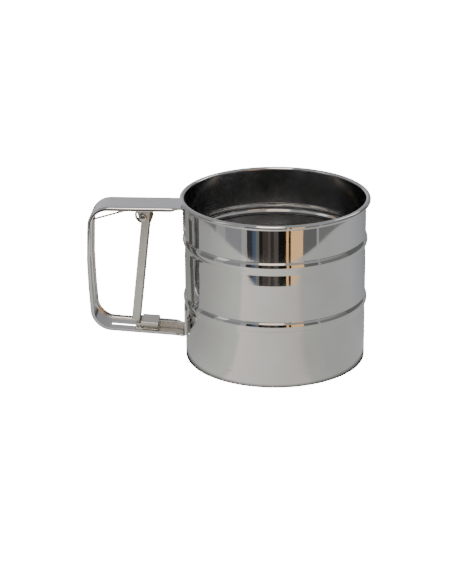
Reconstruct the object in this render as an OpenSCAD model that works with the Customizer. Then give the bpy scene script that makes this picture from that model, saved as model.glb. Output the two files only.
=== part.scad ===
// Hand flour sifter with a squeeze trigger: a sheet-metal cup with a fine screen,
// a swinging agitator above the screen and a channel-section handle.
// The origin is the centre of the cup's bottom edge, +Z is up and the handle points to -X.

/* [Cup] */
// Outer diameter of the cup wall
cup_d = 100; // [80:1:125]
// Height from the bottom edge to the top of the rolled rim
cup_h = 93; // [76:1:120]
// Thickness of the cup's sheet
cup_wall = 0.5; // [0.4:0.05:0.7]
// Radius of the rolled rim's section
rim_roll = 1.45; // [1.2:0.05:2]
// How far the two beads stand out of the wall
bead_rise = 0.95; // [0.5:0.05:1.3]
// Width of each bead
bead_w = 5.6; // [4:0.1:7]
// Height of the lower bead's middle above the bottom edge
bead_low_z = 35; // [33.5:0.5:36]
// Distance of the upper bead's middle below the rim
bead_high_drop = 24; // [23:0.5:26]
// Depth of the crimp that holds the screen frame
crimp_depth = 0.4; // [0.2:0.05:0.6]
// Width of that crimp
crimp_w = 2.4; // [2:0.1:3]
// Height of the folded hem at the bottom edge
hem_h = 3.2; // [3:0.1:4]

/* [Screen and spider] */
// Thickness of the woven screen
screen_t = 0.4; // [0.3:0.05:0.6]
// Sheet thickness of the crimped screen frame
frame_t = 0.5; // [0.4:0.05:0.7]
// Width of the frame's flanges that clamp the screen
frame_w = 2.6; // [2:0.1:4]
// Number of arms of the support spider
spider_arms = 6; // [3:1:8]
// Width of a spider arm at its tip
spider_arm_w = 5; // [3.5:0.1:7]
// Radius of the spider's hub
spider_hub_r = 11; // [9:0.5:13]
// Thickness of the spider's sheet
spider_t = 0.8; // [0.6:0.1:1]
// Direction of the first spider arm, in degrees
spider_angle = 9; // [0:1:60]

/* [Agitator] */
// Number of blades of the agitator
blades = 3; // [2:1:4]
// Width of an agitator blade
blade_w = 8.4; // [6:0.1:10]
// Height of the blade's channel section
blade_h = 4.8; // [3.5:0.1:5.2]
// Thickness of the agitator's sheet
agitator_t = 0.8; // [0.6:0.1:1]
// Radius of the agitator's hub
agitator_hub_r = 12; // [10:0.5:14]
// Direction of the first blade at rest, in degrees
blade_angle = -8; // [-20:1:10]
// Radius of the axle rivet's shank
axle_r = 2; // [1.5:0.1:2.5]
// Distance of the crank pin from the axle
crank_r = 7.5; // [7:0.1:8.5]
// Radius of the crank pin
crank_pin_r = 1.5; // [1.2:0.1:1.8]

/* [Drive] */
// Travel of the drive strip over a full squeeze
stroke = 10.4; // [8:0.1:10.6]
// Thickness of the folded drive strip
strip_t = 1.6; // [1:0.1:2]
// Height of the drive strip where it stands in the handle
strip_h = 4.5; // [4:0.1:5]
// Sideways step of the drive strip inside the cup
strip_jog = 3.6; // [3:0.1:4]
// Width of the slot that the drive strip runs in
slot_w = 3; // [2.8:0.1:4]
// Length of the slot, from the wall
slot_len = 41.6; // [40:0.1:43]
// Outer width of the saddle
saddle_w = 12.8; // [10:0.1:14]
// Length of the saddle's top
saddle_len = 9.6; // [8:0.1:11]
// Height of the saddle's top above the leg's outer face
saddle_h = 5.45; // [5.3:0.05:6]

/* [Handle] */
// Width of the handle strip
handle_w = 20; // [18:0.5:24]
// Thickness of the handle strip
handle_t = 0.8; // [0.6:0.1:1.2]
// Depth of the handle's turned flanges
flange_h = 2; // [1.6:0.1:3]
// Distance of the handle's top below the rim
handle_drop = 5.5; // [5:0.1:7]
// Distance from the cup wall to the outermost point of the grip
handle_reach = 53.75; // [52:0.25:65]
// How far the grip bows out
grip_bow = 1.9; // [1:0.1:3]
// Height of the lower leg's outer face at the wall
leg_z = 12.2; // [12:0.1:13]
// Upward slope of the lower leg, in degrees
leg_slope = 3.6; // [2:0.1:5]
// Radius of the upper corner
corner_top_r = 11; // [8:0.5:14]
// Radius of the lower corner
corner_low_r = 12; // [9:0.5:14]
// Length of the top end tab
tab_top = 13.7; // [10:0.1:15]
// Height of the lower end tab's top edge
tab_low_z = 29.4; // [24:0.1:30]

/* [Trigger] */
// Distance of the trigger's pivot from the cup wall
pivot_reach = 22.2; // [21:0.1:24]
// Distance of the pivot below the handle's top
pivot_drop = 7.1; // [7:0.1:8]
// Radius of the pivot pin
pivot_pin_r = 1.2; // [1:0.1:1.4]
// Outer width of the trigger
trigger_w = 12; // [11.5:0.1:14]
// Depth of the trigger's channel
trigger_depth = 4.4; // [4:0.1:5]
// Thickness of the trigger's sheet
trigger_t = 0.8; // [0.6:0.1:1]
// Width of the tongue at the trigger's foot
tongue_w = 4; // [3.6:0.1:5]
// Outer radius of the return spring's coil
coil_r = 5.1; // [4.8:0.1:5.2]
// Diameter of the spring wire
wire_d = 1.1; // [0.9:0.05:1.2]

/* [Clearances] */
// Radial running clearance of the agitator and the trigger on their pins
run_fit = 0.06; // [0.03:0.01:0.09]
// Gap between parts that slide past each other
slide_gap = 0.3; // [0.25:0.05:0.4]
// Gap round the crank pin in the drive strip's eye
eye_gap = 0.45; // [0.4:0.05:0.6]
// End float of the agitator on its axle
end_float = 0.05; // [0.03:0.01:0.1]

/* [Hidden] */

$fn = 64;
eps = 0.01;
cup_r = cup_d / 2;
inner_r = cup_r - cup_wall;
hem_r = cup_r - 2 * cup_wall;
bead_high_z = cup_h - bead_high_drop;
curl_sweep = 300;
curl_steps = 25;

// Stack on the axle, from the bottom up
screen_z = hem_h + frame_t;
screen_top = screen_z + screen_t;
frame_top = screen_top + frame_t;
frame_bore = inner_r - frame_t - frame_w;
spider_z = hem_h - spider_t;
spider_rim_gap = 0.5;
spider_r = hem_r - spider_rim_gap;
spider_hub_arm_w = spider_arm_w + 1;
spider_hub_overlap = 4;
spider_rib_w = 1.6;
spider_rib_h = 0.5;
washer_r = 8;
washer_t = 0.5;
rivet_head_r = 4;
rivet_head_h = 1.2;
bush_r = 4;
blade_gap = 0.6;
hub_z = frame_top + blade_gap + blade_h - agitator_t;
hub_top = hub_z + agitator_t;
cap_r = 3.2;
cap_z = hub_top + end_float;
upset_r = 2.9;
upset_h = 0.9;
blade_r = frame_bore + 0.1;
blade_flange_t = 0.6;

// Crimp in the cup wall, just above the screen frame's skirt
crimp_z = hem_h + 4 + crimp_w / 2;
skirt_top = crimp_z - crimp_w / 2;

// Crank: the pin swings evenly to both sides of the +Y axis
crank_half = asin(stroke / 2 / crank_r);
crank_rest = 90 - crank_half;
crank_rest_x = stroke / 2;
crank_rest_y = crank_r * cos(crank_half);

// Lower leg: its own frame has the origin at the wall and +Z out of the channel's floor
leg_lift = tan(leg_slope);
strip_z = 0.15;
strip_top = strip_z + strip_h;
collar_r = 2.6;
collar_top = leg_z + strip_z - 0.65;
eye_t = 1.2;
eye_z = collar_top + slide_gap;
eye_lift = stroke * sin(leg_slope);
crank_washer_z = eye_z + eye_t + eye_lift + slide_gap;
crank_washer_r = 3.4;
strip_inner_end = 0.4;
strip_inner_reach = 3.5;
strip_inner_h = strip_h - 1.4;
eye_margin = 1.7;
crank_head_r = 2.4;
crank_head_h = 0.9;
saddle_t = saddle_h - strip_top;
saddle_tab_h = saddle_t;
saddle_tab_len = 2.6;
saddle_tab_gap = 0.05;
saddle_tab_inset = 2.2;

// Handle outline
handle_z = cup_h - handle_drop;
grip_x = -(cup_r + handle_reach);
grip_crown = 0.3;
grip_mid_z = (handle_z + leg_z) / 2 + 6;
leg_end_z = leg_z + (handle_reach - grip_bow) * leg_lift;
wall_overlap = 3;
handle_path = [
    [-(cup_r - wall_overlap), handle_z],
    [grip_x + grip_bow, handle_z],
    [grip_x - grip_crown, grip_mid_z],
    [grip_x + grip_bow, leg_end_z],
    [-(cup_r - wall_overlap), leg_z - wall_overlap * leg_lift]
];
bow_r = 260;
handle_radii = [0, corner_top_r, bow_r, corner_low_r, 0];

// Trigger: its own frame has the origin at the pivot and hangs along -Z
pivot_x = -(cup_r + pivot_reach);
pivot_z = handle_z - pivot_drop;
trigger_back = 0.85;
trigger_web_x = trigger_depth - trigger_back;
trigger_set_back = 6.85;
trigger_foot_x = pivot_x - trigger_set_back;
trigger_foot_gap = 0.9;
foot_leg_z = leg_z + (-trigger_foot_x - cup_r) * leg_lift;
foot_z = foot_leg_z + saddle_h + trigger_foot_gap;
trigger_tilt = atan((pivot_x - trigger_foot_x) / (pivot_z - foot_z));
trigger_len = (pivot_z - foot_z) / cos(trigger_tilt);
tongue_floor_gap = 0.5;
tongue_len = (foot_z - foot_leg_z - handle_t - tongue_floor_gap) / cos(trigger_tilt);
fork_h = 4.1;
fork_gap = 0.3;
ear_r = 2.3;
ear_top = 4.3;
ear_shoulder = 0.2;
web_top = coil_r + 1.1;
head_r = 2.1;
head_h = 0.8;
bracket_t = 0.8;
bracket_w = trigger_w - 2 * trigger_t - 2 * slide_gap;
bracket_half = 4;
bracket_foot_r = 2.6;

// Where the tongue meets the drive strip, seen along the leg
tongue_mid_x = pivot_x + (trigger_web_x - trigger_t / 2) * cos(trigger_tilt)
    - (trigger_len + tongue_len / 2) * sin(trigger_tilt);
notch_x = -(-tongue_mid_x - cup_r) / cos(leg_slope);
notch_in = 1.05;
notch_out = 1.35;
notch_z = 1.1;
strip_end = notch_x - notch_out - 1;
saddle_out = notch_x + notch_in + 0.1;
saddle_skirt = 2.4;
eye_reach = 6;
slot_over = 0.2;
wall_slot_out = 2;
wall_slot_in = 3;
wall_slot_over = 0.6;

// Notch in the tip of each agitator blade
notch_deep = 4;
notch_near = 1.2;
notch_half = 1.5;

// Return spring
coil_turns = 3;
wire_sides = 10;
coil_steps = 24;
coil_pitch = wire_d + 0.05;
wire_r = coil_r - wire_d / 2;
arm_slope = 16.6;
grip_arm_gap = 3.1;
knee_drop = 0.6;
short_arm = 9;
wire_gap = 0.16;

function unit(v) = v / norm(v);
function left(v) = [-v[1], v[0]];
function side(a, p, b) = sign(cross(p - a, b - p));

// Where line p-q, moved to its left by d, meets line q-s moved the same way
function moved_corner(p, q, s, d) =
    let (a = p + d * left(unit(q - p)), u = unit(q - p),
         b = q + d * left(unit(s - q)), v = unit(s - q))
    a + u * (cross(b - a, v) / cross(u, v));

// A path moved to its left by d
function moved(path, d) = [for (i = [0 : len(path) - 1])
    i == 0 ? path[0] + d * left(unit(path[1] - path[0]))
    : i == len(path) - 1 ? path[i] + d * left(unit(path[i] - path[i - 1]))
    : moved_corner(path[i - 1], path[i], path[i + 1], d)];

// Points of the arc that rounds corner p between a and b
function arc(a, p, b, r) =
    let (u = unit(a - p), v = unit(b - p), half = acos(u * v) / 2,
         c = p + unit(u + v) * r / sin(half),
         start = p + u * r / tan(half) - c,
         from = atan2(start[1], start[0]),
         sweep = side(a, p, b) * (180 - 2 * half),
         steps = max(4, ceil(abs(sweep) / 6)))
    [for (k = [0 : steps]) c + r * [cos(from + sweep * k / steps), sin(from + sweep * k / steps)]];

// A path moved to its left by d, with its corners rounded
function rounded(path, radii, d) =
    let (m = moved(path, d), last = len(path) - 1)
    [for (i = [0 : last]) each
        (i == 0 || i == last) ? [m[i]]
        : arc(m[i - 1], m[i], m[i + 1], radii[i] - d * side(path[i - 1], path[i], path[i + 1]))];

function reversed(list) = [for (i = [len(list) - 1 : -1 : 0]) list[i]];

// The band between the path moved by d0 and by d1
module band(path, radii, d0, d1) {
    polygon(concat(rounded(path, radii, d0), reversed(rounded(path, radii, d1))));
}

// Turns an outline drawn in X and Z into a plate of thickness t, centred on y
module plate_xz(t, y = 0) {
    translate([0, y + t / 2, 0]) rotate([90, 0, 0]) linear_extrude(t) children();
}

module leg_frame() {
    translate([-cup_r, 0, leg_z]) rotate([0, leg_slope, 0]) children();
}

module trigger_frame() {
    translate([pivot_x, 0, pivot_z]) rotate([0, trigger_tilt, 0]) children();
}

module block(x0, x1, w, z0, z1, y = 0) {
    translate([x0, y - w / 2, z0]) cube([x1 - x0, w, z1 - z0]);
}

module ring(r_in, r_out, z0, z1) {
    difference() {
        translate([0, 0, z0]) cylinder(r = r_out, h = z1 - z0);
        translate([0, 0, z0 - 1]) cylinder(r = r_in, h = z1 - z0 + 2);
    }
}

// The opening for the drive strip through the leg's floor, its end tab and the cup wall
module drive_slot() {
    leg_frame() {
        block(-slot_len, 1, slot_w, -1, handle_t + slot_over);
        block(-wall_slot_out, wall_slot_in, slot_w, -0.5, strip_top + wall_slot_over);
    }
}

// Arc of the rolled rim's section, from the wall over the top and back under
function curl(r) = [for (k = [0 : curl_steps]) let (a = 180 - curl_sweep * k / curl_steps)
    r * [cos(a), sin(a)]];

function dome_radius(w, h) = (w * w / 4 + h * h) / (2 * h);

module wall_section() {
    bead_arc = dome_radius(bead_w, bead_rise);
    crimp_arc = dome_radius(crimp_w, crimp_depth);
    bead_x = cup_r + bead_rise - bead_arc;
    crimp_x = inner_r - crimp_depth + crimp_arc;
    roll_z = cup_h - rim_roll;
    difference() {
        union() {
            translate([inner_r + rim_roll, roll_z]) polygon(concat(
                [[-rim_roll, -roll_z], [cup_wall - rim_roll, -roll_z]],
                curl(rim_roll - cup_wall), reversed(curl(rim_roll))));
            translate([hem_r, 0]) square([2 * cup_wall, hem_h]);
            for (z = [bead_low_z, bead_high_z]) intersection() {
                translate([bead_x, z]) circle(r = bead_arc);
                translate([inner_r, z - bead_w / 2]) square([cup_wall + bead_rise + 1, bead_w]);
            }
            intersection() {
                translate([crimp_x, crimp_z]) circle(r = crimp_arc);
                translate([inner_r - 1, crimp_z - crimp_w / 2]) square([1 + cup_wall, crimp_w]);
            }
        }
        for (z = [bead_low_z, bead_high_z]) translate([bead_x, z]) circle(r = bead_arc - cup_wall);
        translate([crimp_x, crimp_z]) circle(r = crimp_arc - cup_wall);
    }
}

// One drawn shell: rolled rim, two beads, crimp, folded hem and the strip's opening
module cup_shell() {
    color([0.72, 0.72, 0.71]) difference() {
        rotate_extrude() wall_section();
        drive_slot();
    }
}

// Crimped ring with two flanges that clamp the screen, and a skirt against the wall
module screen_frame() {
    color([0.62, 0.62, 0.6]) {
        rotate_extrude() union() {
            translate([inner_r - frame_t, hem_h]) square([frame_t, skirt_top - hem_h]);
            translate([frame_bore, hem_h]) square([frame_w + frame_t, frame_t]);
            translate([frame_bore, screen_top]) square([frame_w + frame_t, frame_t]);
        }
    }
}

module screen() {
    color([0.85, 0.85, 0.84]) ring(axle_r, inner_r - frame_t, screen_z, screen_top);
}

// Flat star under the screen, welded to the underside of the screen frame
module support_spider() {
    color([0.7, 0.67, 0.62]) difference() {
        union() {
            rotate(spider_angle + 180 / spider_arms) translate([0, 0, spider_z])
                cylinder(r = spider_hub_r, h = spider_t);
            for (i = [0 : spider_arms - 1]) rotate(spider_angle + i * 360 / spider_arms)
                spider_arm();
        }
        translate([0, 0, spider_z - 1]) cylinder(r = axle_r, h = spider_t + 2);
    }
}

// A tapering arm with a pressed rib under it
module spider_arm() {
    start = spider_hub_r - spider_hub_overlap;
    translate([0, 0, spider_z]) linear_extrude(spider_t) polygon([
        [start, -spider_hub_arm_w / 2], [spider_r, -spider_arm_w / 2],
        [spider_r, spider_arm_w / 2], [start, spider_hub_arm_w / 2]]);
    block(spider_hub_r + 1, frame_bore - 2, spider_rib_w, spider_z - spider_rib_h, spider_z + 0.2);
}

// Rivet that is the agitator's axle, with its head under the spider and its upset end on top
module axle_rivet() {
    color([0.6, 0.6, 0.58]) {
        translate([0, 0, spider_z - rivet_head_h]) cylinder(r = rivet_head_r, h = rivet_head_h);
        translate([0, 0, spider_z - eps])
            cylinder(r = axle_r, h = cap_z + washer_t - spider_z + 2 * eps);
        translate([0, 0, cap_z + washer_t]) cylinder(r = upset_r, h = upset_h);
    }
}

module lower_washer() {
    color([0.55, 0.55, 0.54]) ring(axle_r, washer_r, hem_h, screen_z);
}

module upper_washer() {
    color([0.55, 0.55, 0.54]) ring(axle_r, washer_r, screen_top, screen_top + washer_t);
}

// Bush that carries the agitator's hub above the screen
module spacer_bush() {
    color([0.66, 0.64, 0.58]) ring(axle_r, bush_r, screen_top + washer_t, hub_z - end_float);
}

module cap_washer() {
    color([0.55, 0.55, 0.54]) ring(axle_r, cap_r, cap_z, cap_z + washer_t);
}

// Star of channel blades, open side down, that swings just above the screen
module agitator() {
    color([0.58, 0.54, 0.48]) difference() {
        union() {
            translate([0, 0, hub_z]) cylinder(r = agitator_hub_r, h = agitator_t);
            for (i = [0 : blades - 1]) rotate(blade_angle + i * 360 / blades) {
                block(0, blade_r, blade_w, hub_z, hub_top);
                for (s = [-1, 1]) block(agitator_hub_r, blade_r, blade_flange_t,
                    hub_top - blade_h, hub_top, s * (blade_w - blade_flange_t) / 2);
            }
        }
        translate([0, 0, hub_z - 1]) cylinder(r = axle_r + run_fit, h = agitator_t + 2);
        rotate(crank_rest) translate([crank_r, 0, hub_z - 1])
            cylinder(r = crank_pin_r, h = agitator_t + 2);
        for (i = [0 : blades - 1]) rotate(blade_angle + i * 360 / blades)
            translate([blade_r, 0, hub_z - 1]) linear_extrude(agitator_t + 2)
                polygon([[-notch_deep, 0], [-notch_near, -notch_half], [-notch_near, notch_half]]);
    }
}

module at_crank() {
    rotate(crank_rest) translate([crank_r, 0, 0]) children();
}

// Pin riveted into the agitator's hub, which the drive strip's eye pushes
module crank_pin() {
    color([0.6, 0.6, 0.58]) at_crank() {
        translate([0, 0, hub_z - upset_h]) cylinder(r = crank_head_r, h = upset_h);
        translate([0, 0, hub_z - eps])
            cylinder(r = crank_pin_r, h = crank_washer_z + washer_t - hub_z + 2 * eps);
        translate([0, 0, crank_washer_z + washer_t]) cylinder(r = crank_head_r, h = crank_head_h);
    }
}

module crank_collar() {
    color([0.66, 0.64, 0.58]) at_crank() ring(crank_pin_r, collar_r, hub_top, collar_top);
}

module crank_washer() {
    color([0.55, 0.55, 0.54]) at_crank()
        ring(crank_pin_r, crank_washer_r, crank_washer_z, crank_washer_z + washer_t);
}

// Plan of the strip inside the cup: through the wall, a sideways step, then straight
module strip_plan() {
    step_x = -(inner_r - stroke - 2);
    path = [[-inner_r + 1, 0], [step_x, 0], [step_x + 8, strip_jog], [strip_inner_end, strip_jog]];
    band(path, [0, 6, 6, 0], -strip_t / 2, strip_t / 2);
}

// Folded strip on edge in the handle, with a flat slotted eye over the crank pin
module drive_strip() {
    inner_z = leg_z + strip_z - strip_inner_reach * leg_lift;
    eye_x0 = -eye_reach;
    eye_x1 = crank_rest_x + crank_pin_r + eye_gap + eye_margin;
    eye_y0 = strip_jog - strip_t / 2;
    eye_y1 = crank_r + crank_pin_r + eye_gap + eye_margin;
    color([0.64, 0.63, 0.61]) difference() {
        union() {
            leg_frame() difference() {
                block(strip_end, strip_inner_reach, strip_t, strip_z, strip_top);
                block(notch_x - notch_out, notch_x + notch_in, slot_w, notch_z, strip_top + 1);
            }
            leg_frame() for (x = saddle_tabs()) block(x - saddle_tab_len / 2, x + saddle_tab_len / 2,
                strip_t, strip_top - eps, strip_top + saddle_tab_h);
            translate([0, 0, inner_z]) linear_extrude(strip_inner_h) strip_plan();
            translate([eye_x0, eye_y0, eye_z]) cube([eye_x1 - eye_x0, eye_y1 - eye_y0, eye_t]);
        }
        for (y = [crank_rest_y, crank_r]) translate([crank_rest_x, y, eye_z - 1])
            cylinder(r = crank_pin_r + eye_gap, h = eye_t + 2);
        translate([crank_rest_x - crank_pin_r - eye_gap, crank_rest_y, eye_z - 1])
            cube([2 * (crank_pin_r + eye_gap), crank_r - crank_rest_y, eye_t + 2]);
    }
}

function saddle_tabs() = [saddle_out + saddle_tab_inset, saddle_out + saddle_len - saddle_tab_inset];

// Inverted channel that sits over the strip, held by the strip's two peened tabs
module strip_saddle() {
    color([0.62, 0.6, 0.57]) leg_frame() difference() {
        union() {
            block(saddle_out, saddle_out + saddle_len, saddle_w, strip_top, saddle_h);
            for (s = [-1, 1]) {
                block(saddle_out, saddle_out + saddle_len, saddle_t,
                    handle_t + slide_gap, saddle_h, s * (saddle_w - saddle_t) / 2);
                block(saddle_out - saddle_skirt, saddle_out + eps, saddle_t,
                    handle_t + slide_gap, saddle_h - 1, s * (saddle_w - saddle_t) / 2);
            }
        }
        for (x = saddle_tabs()) block(x - saddle_tab_len / 2 - saddle_tab_gap,
            x + saddle_tab_len / 2 + saddle_tab_gap, strip_t + 2 * saddle_tab_gap,
            strip_top - 1, saddle_h + 1);
    }
}

// One strip bent to a rounded D, flanges turned in, with both end tabs against the wall
module handle_strip() {
    color([0.68, 0.68, 0.7]) difference() {
        union() {
            plate_xz(handle_w) band(handle_path, handle_radii, 0, handle_t);
            for (s = [-1, 1]) plate_xz(handle_t, s * (handle_w - handle_t) / 2)
                band(handle_path, handle_radii, 0, flange_h);
            intersection() {
                ring(cup_r, cup_r + handle_t, 0, cup_h);
                union() {
                    block(-cup_r - 2, 0, handle_w, handle_z - tab_top, handle_z - eps);
                    block(-cup_r - 2, 0, handle_w, leg_z, tab_low_z);
                }
            }
        }
        translate([0, 0, -1]) cylinder(r = cup_r, h = cup_h + 2);
        drive_slot();
    }
}

// Bracket under the handle's top leg that carries the trigger's pivot pin
module pivot_bracket() {
    top = pivot_drop - handle_t;
    color([0.6, 0.6, 0.6]) translate([pivot_x, 0, pivot_z]) difference() {
        union() {
            block(-bracket_half, bracket_half, bracket_w, top - bracket_t, top);
            for (s = [-1, 1]) plate_xz(bracket_t, s * (bracket_w - bracket_t) / 2) {
                circle(r = bracket_foot_r);
                polygon([[-bracket_foot_r, 0], [bracket_foot_r, 0],
                    [bracket_half, top], [-bracket_half, top]]);
            }
        }
        rotate([90, 0, 0]) translate([0, 0, -bracket_w]) cylinder(r = pivot_pin_r, h = 2 * bracket_w);
    }
}

module pivot_pin() {
    reach = trigger_w / 2 + slide_gap;
    color([0.6, 0.6, 0.58]) translate([pivot_x, 0, pivot_z]) rotate([90, 0, 0]) {
        translate([0, 0, -reach - eps]) cylinder(r = pivot_pin_r, h = 2 * reach + 2 * eps);
        for (s = [-1, 1]) translate([0, 0, s * (reach + head_h / 2) - head_h / 2])
            cylinder(r = head_r, h = head_h);
    }
}

// Channel that the fingers squeeze, with two ears on the pin and a forked tongue at its foot
module trigger() {
    color([0.66, 0.65, 0.6]) trigger_frame() difference() {
        union() {
            block(trigger_web_x - trigger_t, trigger_web_x, trigger_w, -trigger_len, -web_top);
            block(trigger_web_x - trigger_t, trigger_web_x, tongue_w,
                -trigger_len - tongue_len, -trigger_len + eps);
            for (s = [-1, 1]) plate_xz(trigger_t, s * (trigger_w - trigger_t) / 2) {
                circle(r = ear_r);
                polygon([[-trigger_back, -trigger_len], [trigger_web_x, -trigger_len],
                    [trigger_web_x, ear_top], [-ear_shoulder, ear_top], [-trigger_back, 0]]);
            }
        }
        rotate([90, 0, 0]) translate([0, 0, -trigger_w])
            cylinder(r = pivot_pin_r + run_fit, h = 2 * trigger_w);
        block(trigger_web_x - trigger_t - 1, trigger_web_x + 1, strip_t + 2 * fork_gap,
            -trigger_len - tongue_len - 1, -trigger_len - tongue_len + fork_h);
    }
}

// A point of the trigger's frame, seen from the pivot in the part's own frame
function tilted(p) = [p[0] * cos(trigger_tilt) + p[1] * sin(trigger_tilt),
    p[1] * cos(trigger_tilt) - p[0] * sin(trigger_tilt)];

// Centre line of the spring wire: long arm to the grip, coil, short arm behind the trigger's web
function spring_path() =
    let (half = coil_turns * coil_pitch / 2,
         first = 90 + arm_slope,
         start = wire_r * [cos(first), sin(first)],
         arm_run = (pivot_x + start[0] - grip_x - grip_arm_gap) / cos(arm_slope),
         web_in = trigger_web_x - trigger_t - wire_d / 2 - wire_gap,
         knee = tilted([web_in, -web_top - knee_drop]),
         foot = tilted([web_in, -web_top - knee_drop - short_arm]),
         last = atan2(knee[1], knee[0]) + acos(wire_r / norm(knee)),
         total = first - last + 360 * (coil_turns - 1),
         steps = ceil(total / 360 * coil_steps))
    concat(
        [[start[0] - arm_run * cos(arm_slope), half, start[1] - arm_run * sin(arm_slope)]],
        [for (k = [0 : steps]) let (a = first - total * k / steps)
            [wire_r * cos(a), half - 2 * half * k / steps, wire_r * sin(a)]],
        [[knee[0], -half, knee[1]], [foot[0], -half, foot[1]]]);

function cross3(a, b) = [a[1] * b[2] - a[2] * b[1], a[2] * b[0] - a[0] * b[2],
    a[0] * b[1] - a[1] * b[0]];

// A round wire swept along points that all lie near planes of constant Y
module wire(points, d) {
    n = len(points);
    tangents = [for (i = [0 : n - 1])
        unit(points[min(i + 1, n - 1)] - points[max(i - 1, 0)])];
    rings = [for (i = [0 : n - 1])
        let (u = unit(cross3([0, 1, 0], tangents[i])), v = cross3(tangents[i], u))
        for (k = [0 : wire_sides - 1])
            points[i] + d / 2 * (cos(360 * k / wire_sides) * u + sin(360 * k / wire_sides) * v)];
    faces = concat(
        [[for (k = [wire_sides - 1 : -1 : 0]) k]],
        [for (i = [0 : n - 2]) for (k = [0 : wire_sides - 1])
            [i * wire_sides + k, i * wire_sides + (k + 1) % wire_sides,
             (i + 1) * wire_sides + (k + 1) % wire_sides, (i + 1) * wire_sides + k]],
        [[for (k = [0 : wire_sides - 1]) (n - 1) * wire_sides + k]]);
    polyhedron(points = rings, faces = faces, convexity = 8);
}

module return_spring() {
    color([0.7, 0.66, 0.55]) translate([pivot_x, 0, pivot_z]) wire(spring_path(), wire_d);
}

cup_shell();
screen_frame();
screen();
support_spider();
axle_rivet();
lower_washer();
upper_washer();
spacer_bush();
cap_washer();
agitator();
crank_pin();
crank_collar();
crank_washer();
drive_strip();
strip_saddle();
handle_strip();
pivot_bracket();
pivot_pin();
trigger();
return_spring();
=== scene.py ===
"""Looks of a hand flour sifter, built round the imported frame.

Each sub-assembly is a class with its sizes in millimetres as fields. It builds its
pieces in the frame's own place, dresses them in a steel finish and hands them to the
body they ride on.
"""

import logging
import math
from collections.abc import Callable, Iterable, Sequence
from dataclasses import dataclass, field
from enum import Enum

import bmesh
import bpy
from mathutils import Matrix, Vector


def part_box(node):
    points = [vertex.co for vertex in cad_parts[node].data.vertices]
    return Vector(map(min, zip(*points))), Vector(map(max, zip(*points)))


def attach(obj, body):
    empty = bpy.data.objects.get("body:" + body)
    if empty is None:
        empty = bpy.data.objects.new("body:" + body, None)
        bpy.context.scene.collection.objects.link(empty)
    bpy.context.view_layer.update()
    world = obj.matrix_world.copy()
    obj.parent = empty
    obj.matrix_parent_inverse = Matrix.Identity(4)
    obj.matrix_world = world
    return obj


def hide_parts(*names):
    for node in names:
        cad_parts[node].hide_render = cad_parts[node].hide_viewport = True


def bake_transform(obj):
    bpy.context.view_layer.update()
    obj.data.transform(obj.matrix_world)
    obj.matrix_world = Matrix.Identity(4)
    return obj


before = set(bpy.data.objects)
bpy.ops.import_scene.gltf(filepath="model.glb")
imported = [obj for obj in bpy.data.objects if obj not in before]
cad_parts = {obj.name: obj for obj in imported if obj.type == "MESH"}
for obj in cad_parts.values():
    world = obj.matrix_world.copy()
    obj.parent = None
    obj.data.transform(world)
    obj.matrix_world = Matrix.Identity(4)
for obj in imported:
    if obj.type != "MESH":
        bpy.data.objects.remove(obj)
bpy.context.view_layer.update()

log = logging.getLogger("sifter")

MM = 0.001
Point2 = tuple[float, float]
Colour = tuple[float, float, float]
Point3 = tuple[float, float, float]
TOUCHING = 1e-6
SEAM_GAP = 2e-6
SECTOR_GAP = 5e-6
WEAVE_LIFT = 0.85
WEAVE_SIDES = 4
WELD_SEGMENTS = 28
WELD_RINGS = 12


# ---------------------------------------------------------------- outlines


def arc_points(centre: Point2, radius: float, start: float, sweep: float, steps: int) -> list[Point2]:
    """Points along an arc.

    Args:
        centre: middle of the arc's circle.
        radius: its radius.
        start: first angle, in degrees.
        sweep: turn from the first point to the last, in degrees.
        steps: number of straight steps.

    Returns:
        The steps + 1 points.
    """
    angles = [math.radians(start + sweep * k / steps) for k in range(steps + 1)]
    return [(centre[0] + radius * math.cos(a), centre[1] + radius * math.sin(a)) for a in angles]


def filleted(points: Sequence[Point2], radii: Sequence[float], step: float = 12.0,
             closed: bool = False) -> list[Point2]:
    """Rounds the corners of a path.

    Args:
        points: the path's corners.
        radii: one radius for each corner, 0 where it stays sharp.
        step: largest turn between two points of a rounded corner, in degrees.
        closed: whether the last corner joins the first.

    Returns:
        The rounded path.
    """
    result: list[Point2] = []
    count = len(points)
    for i, (point, radius) in enumerate(zip(points, radii)):
        if radius <= 0 or (not closed and i in (0, count - 1)):
            result.append(point)
            continue
        here = Vector(point)
        before = (Vector(points[i - 1]) - here).normalized()
        after = (Vector(points[(i + 1) % count]) - here).normalized()
        half = before.angle(after) / 2
        centre = here + (before + after).normalized() * radius / math.sin(half)
        first = here + before * radius / math.tan(half) - centre
        turn = math.copysign(180 - 2 * math.degrees(half), -(before.x * after.y - before.y * after.x))
        steps = max(2, math.ceil(abs(turn) / step))
        start = math.degrees(math.atan2(first.y, first.x))
        result += arc_points((centre.x, centre.y), radius, start, turn, steps)
    return result


def spaced(points: Sequence[Point2], gap: float) -> list[Point2]:
    """Adds points to a path's long straights.

    Args:
        points: the path.
        gap: longest step that may stay.

    Returns:
        The path with no step longer than gap.
    """
    result = [points[0]]
    for a, b in zip(points, points[1:]):
        steps = max(1, math.ceil(math.dist(a, b) / gap - 1e-6))
        result += [(a[0] + (b[0] - a[0]) * k / steps, a[1] + (b[1] - a[1]) * k / steps)
                   for k in range(1, steps + 1)]
    return result


def between(low: float, high: float, steps: int) -> list[float]:
    """Evenly spaced values from low to high, both included."""
    return [low + (high - low) * k / steps for k in range(steps + 1)]


def smoothstep(value: float, low: float, high: float) -> float:
    """Rises smoothly from 0 at low to 1 at high."""
    t = min(1.0, max(0.0, (value - low) / (high - low)))
    return t * t * (3 - 2 * t)


# ---------------------------------------------------------------- meshes


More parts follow.
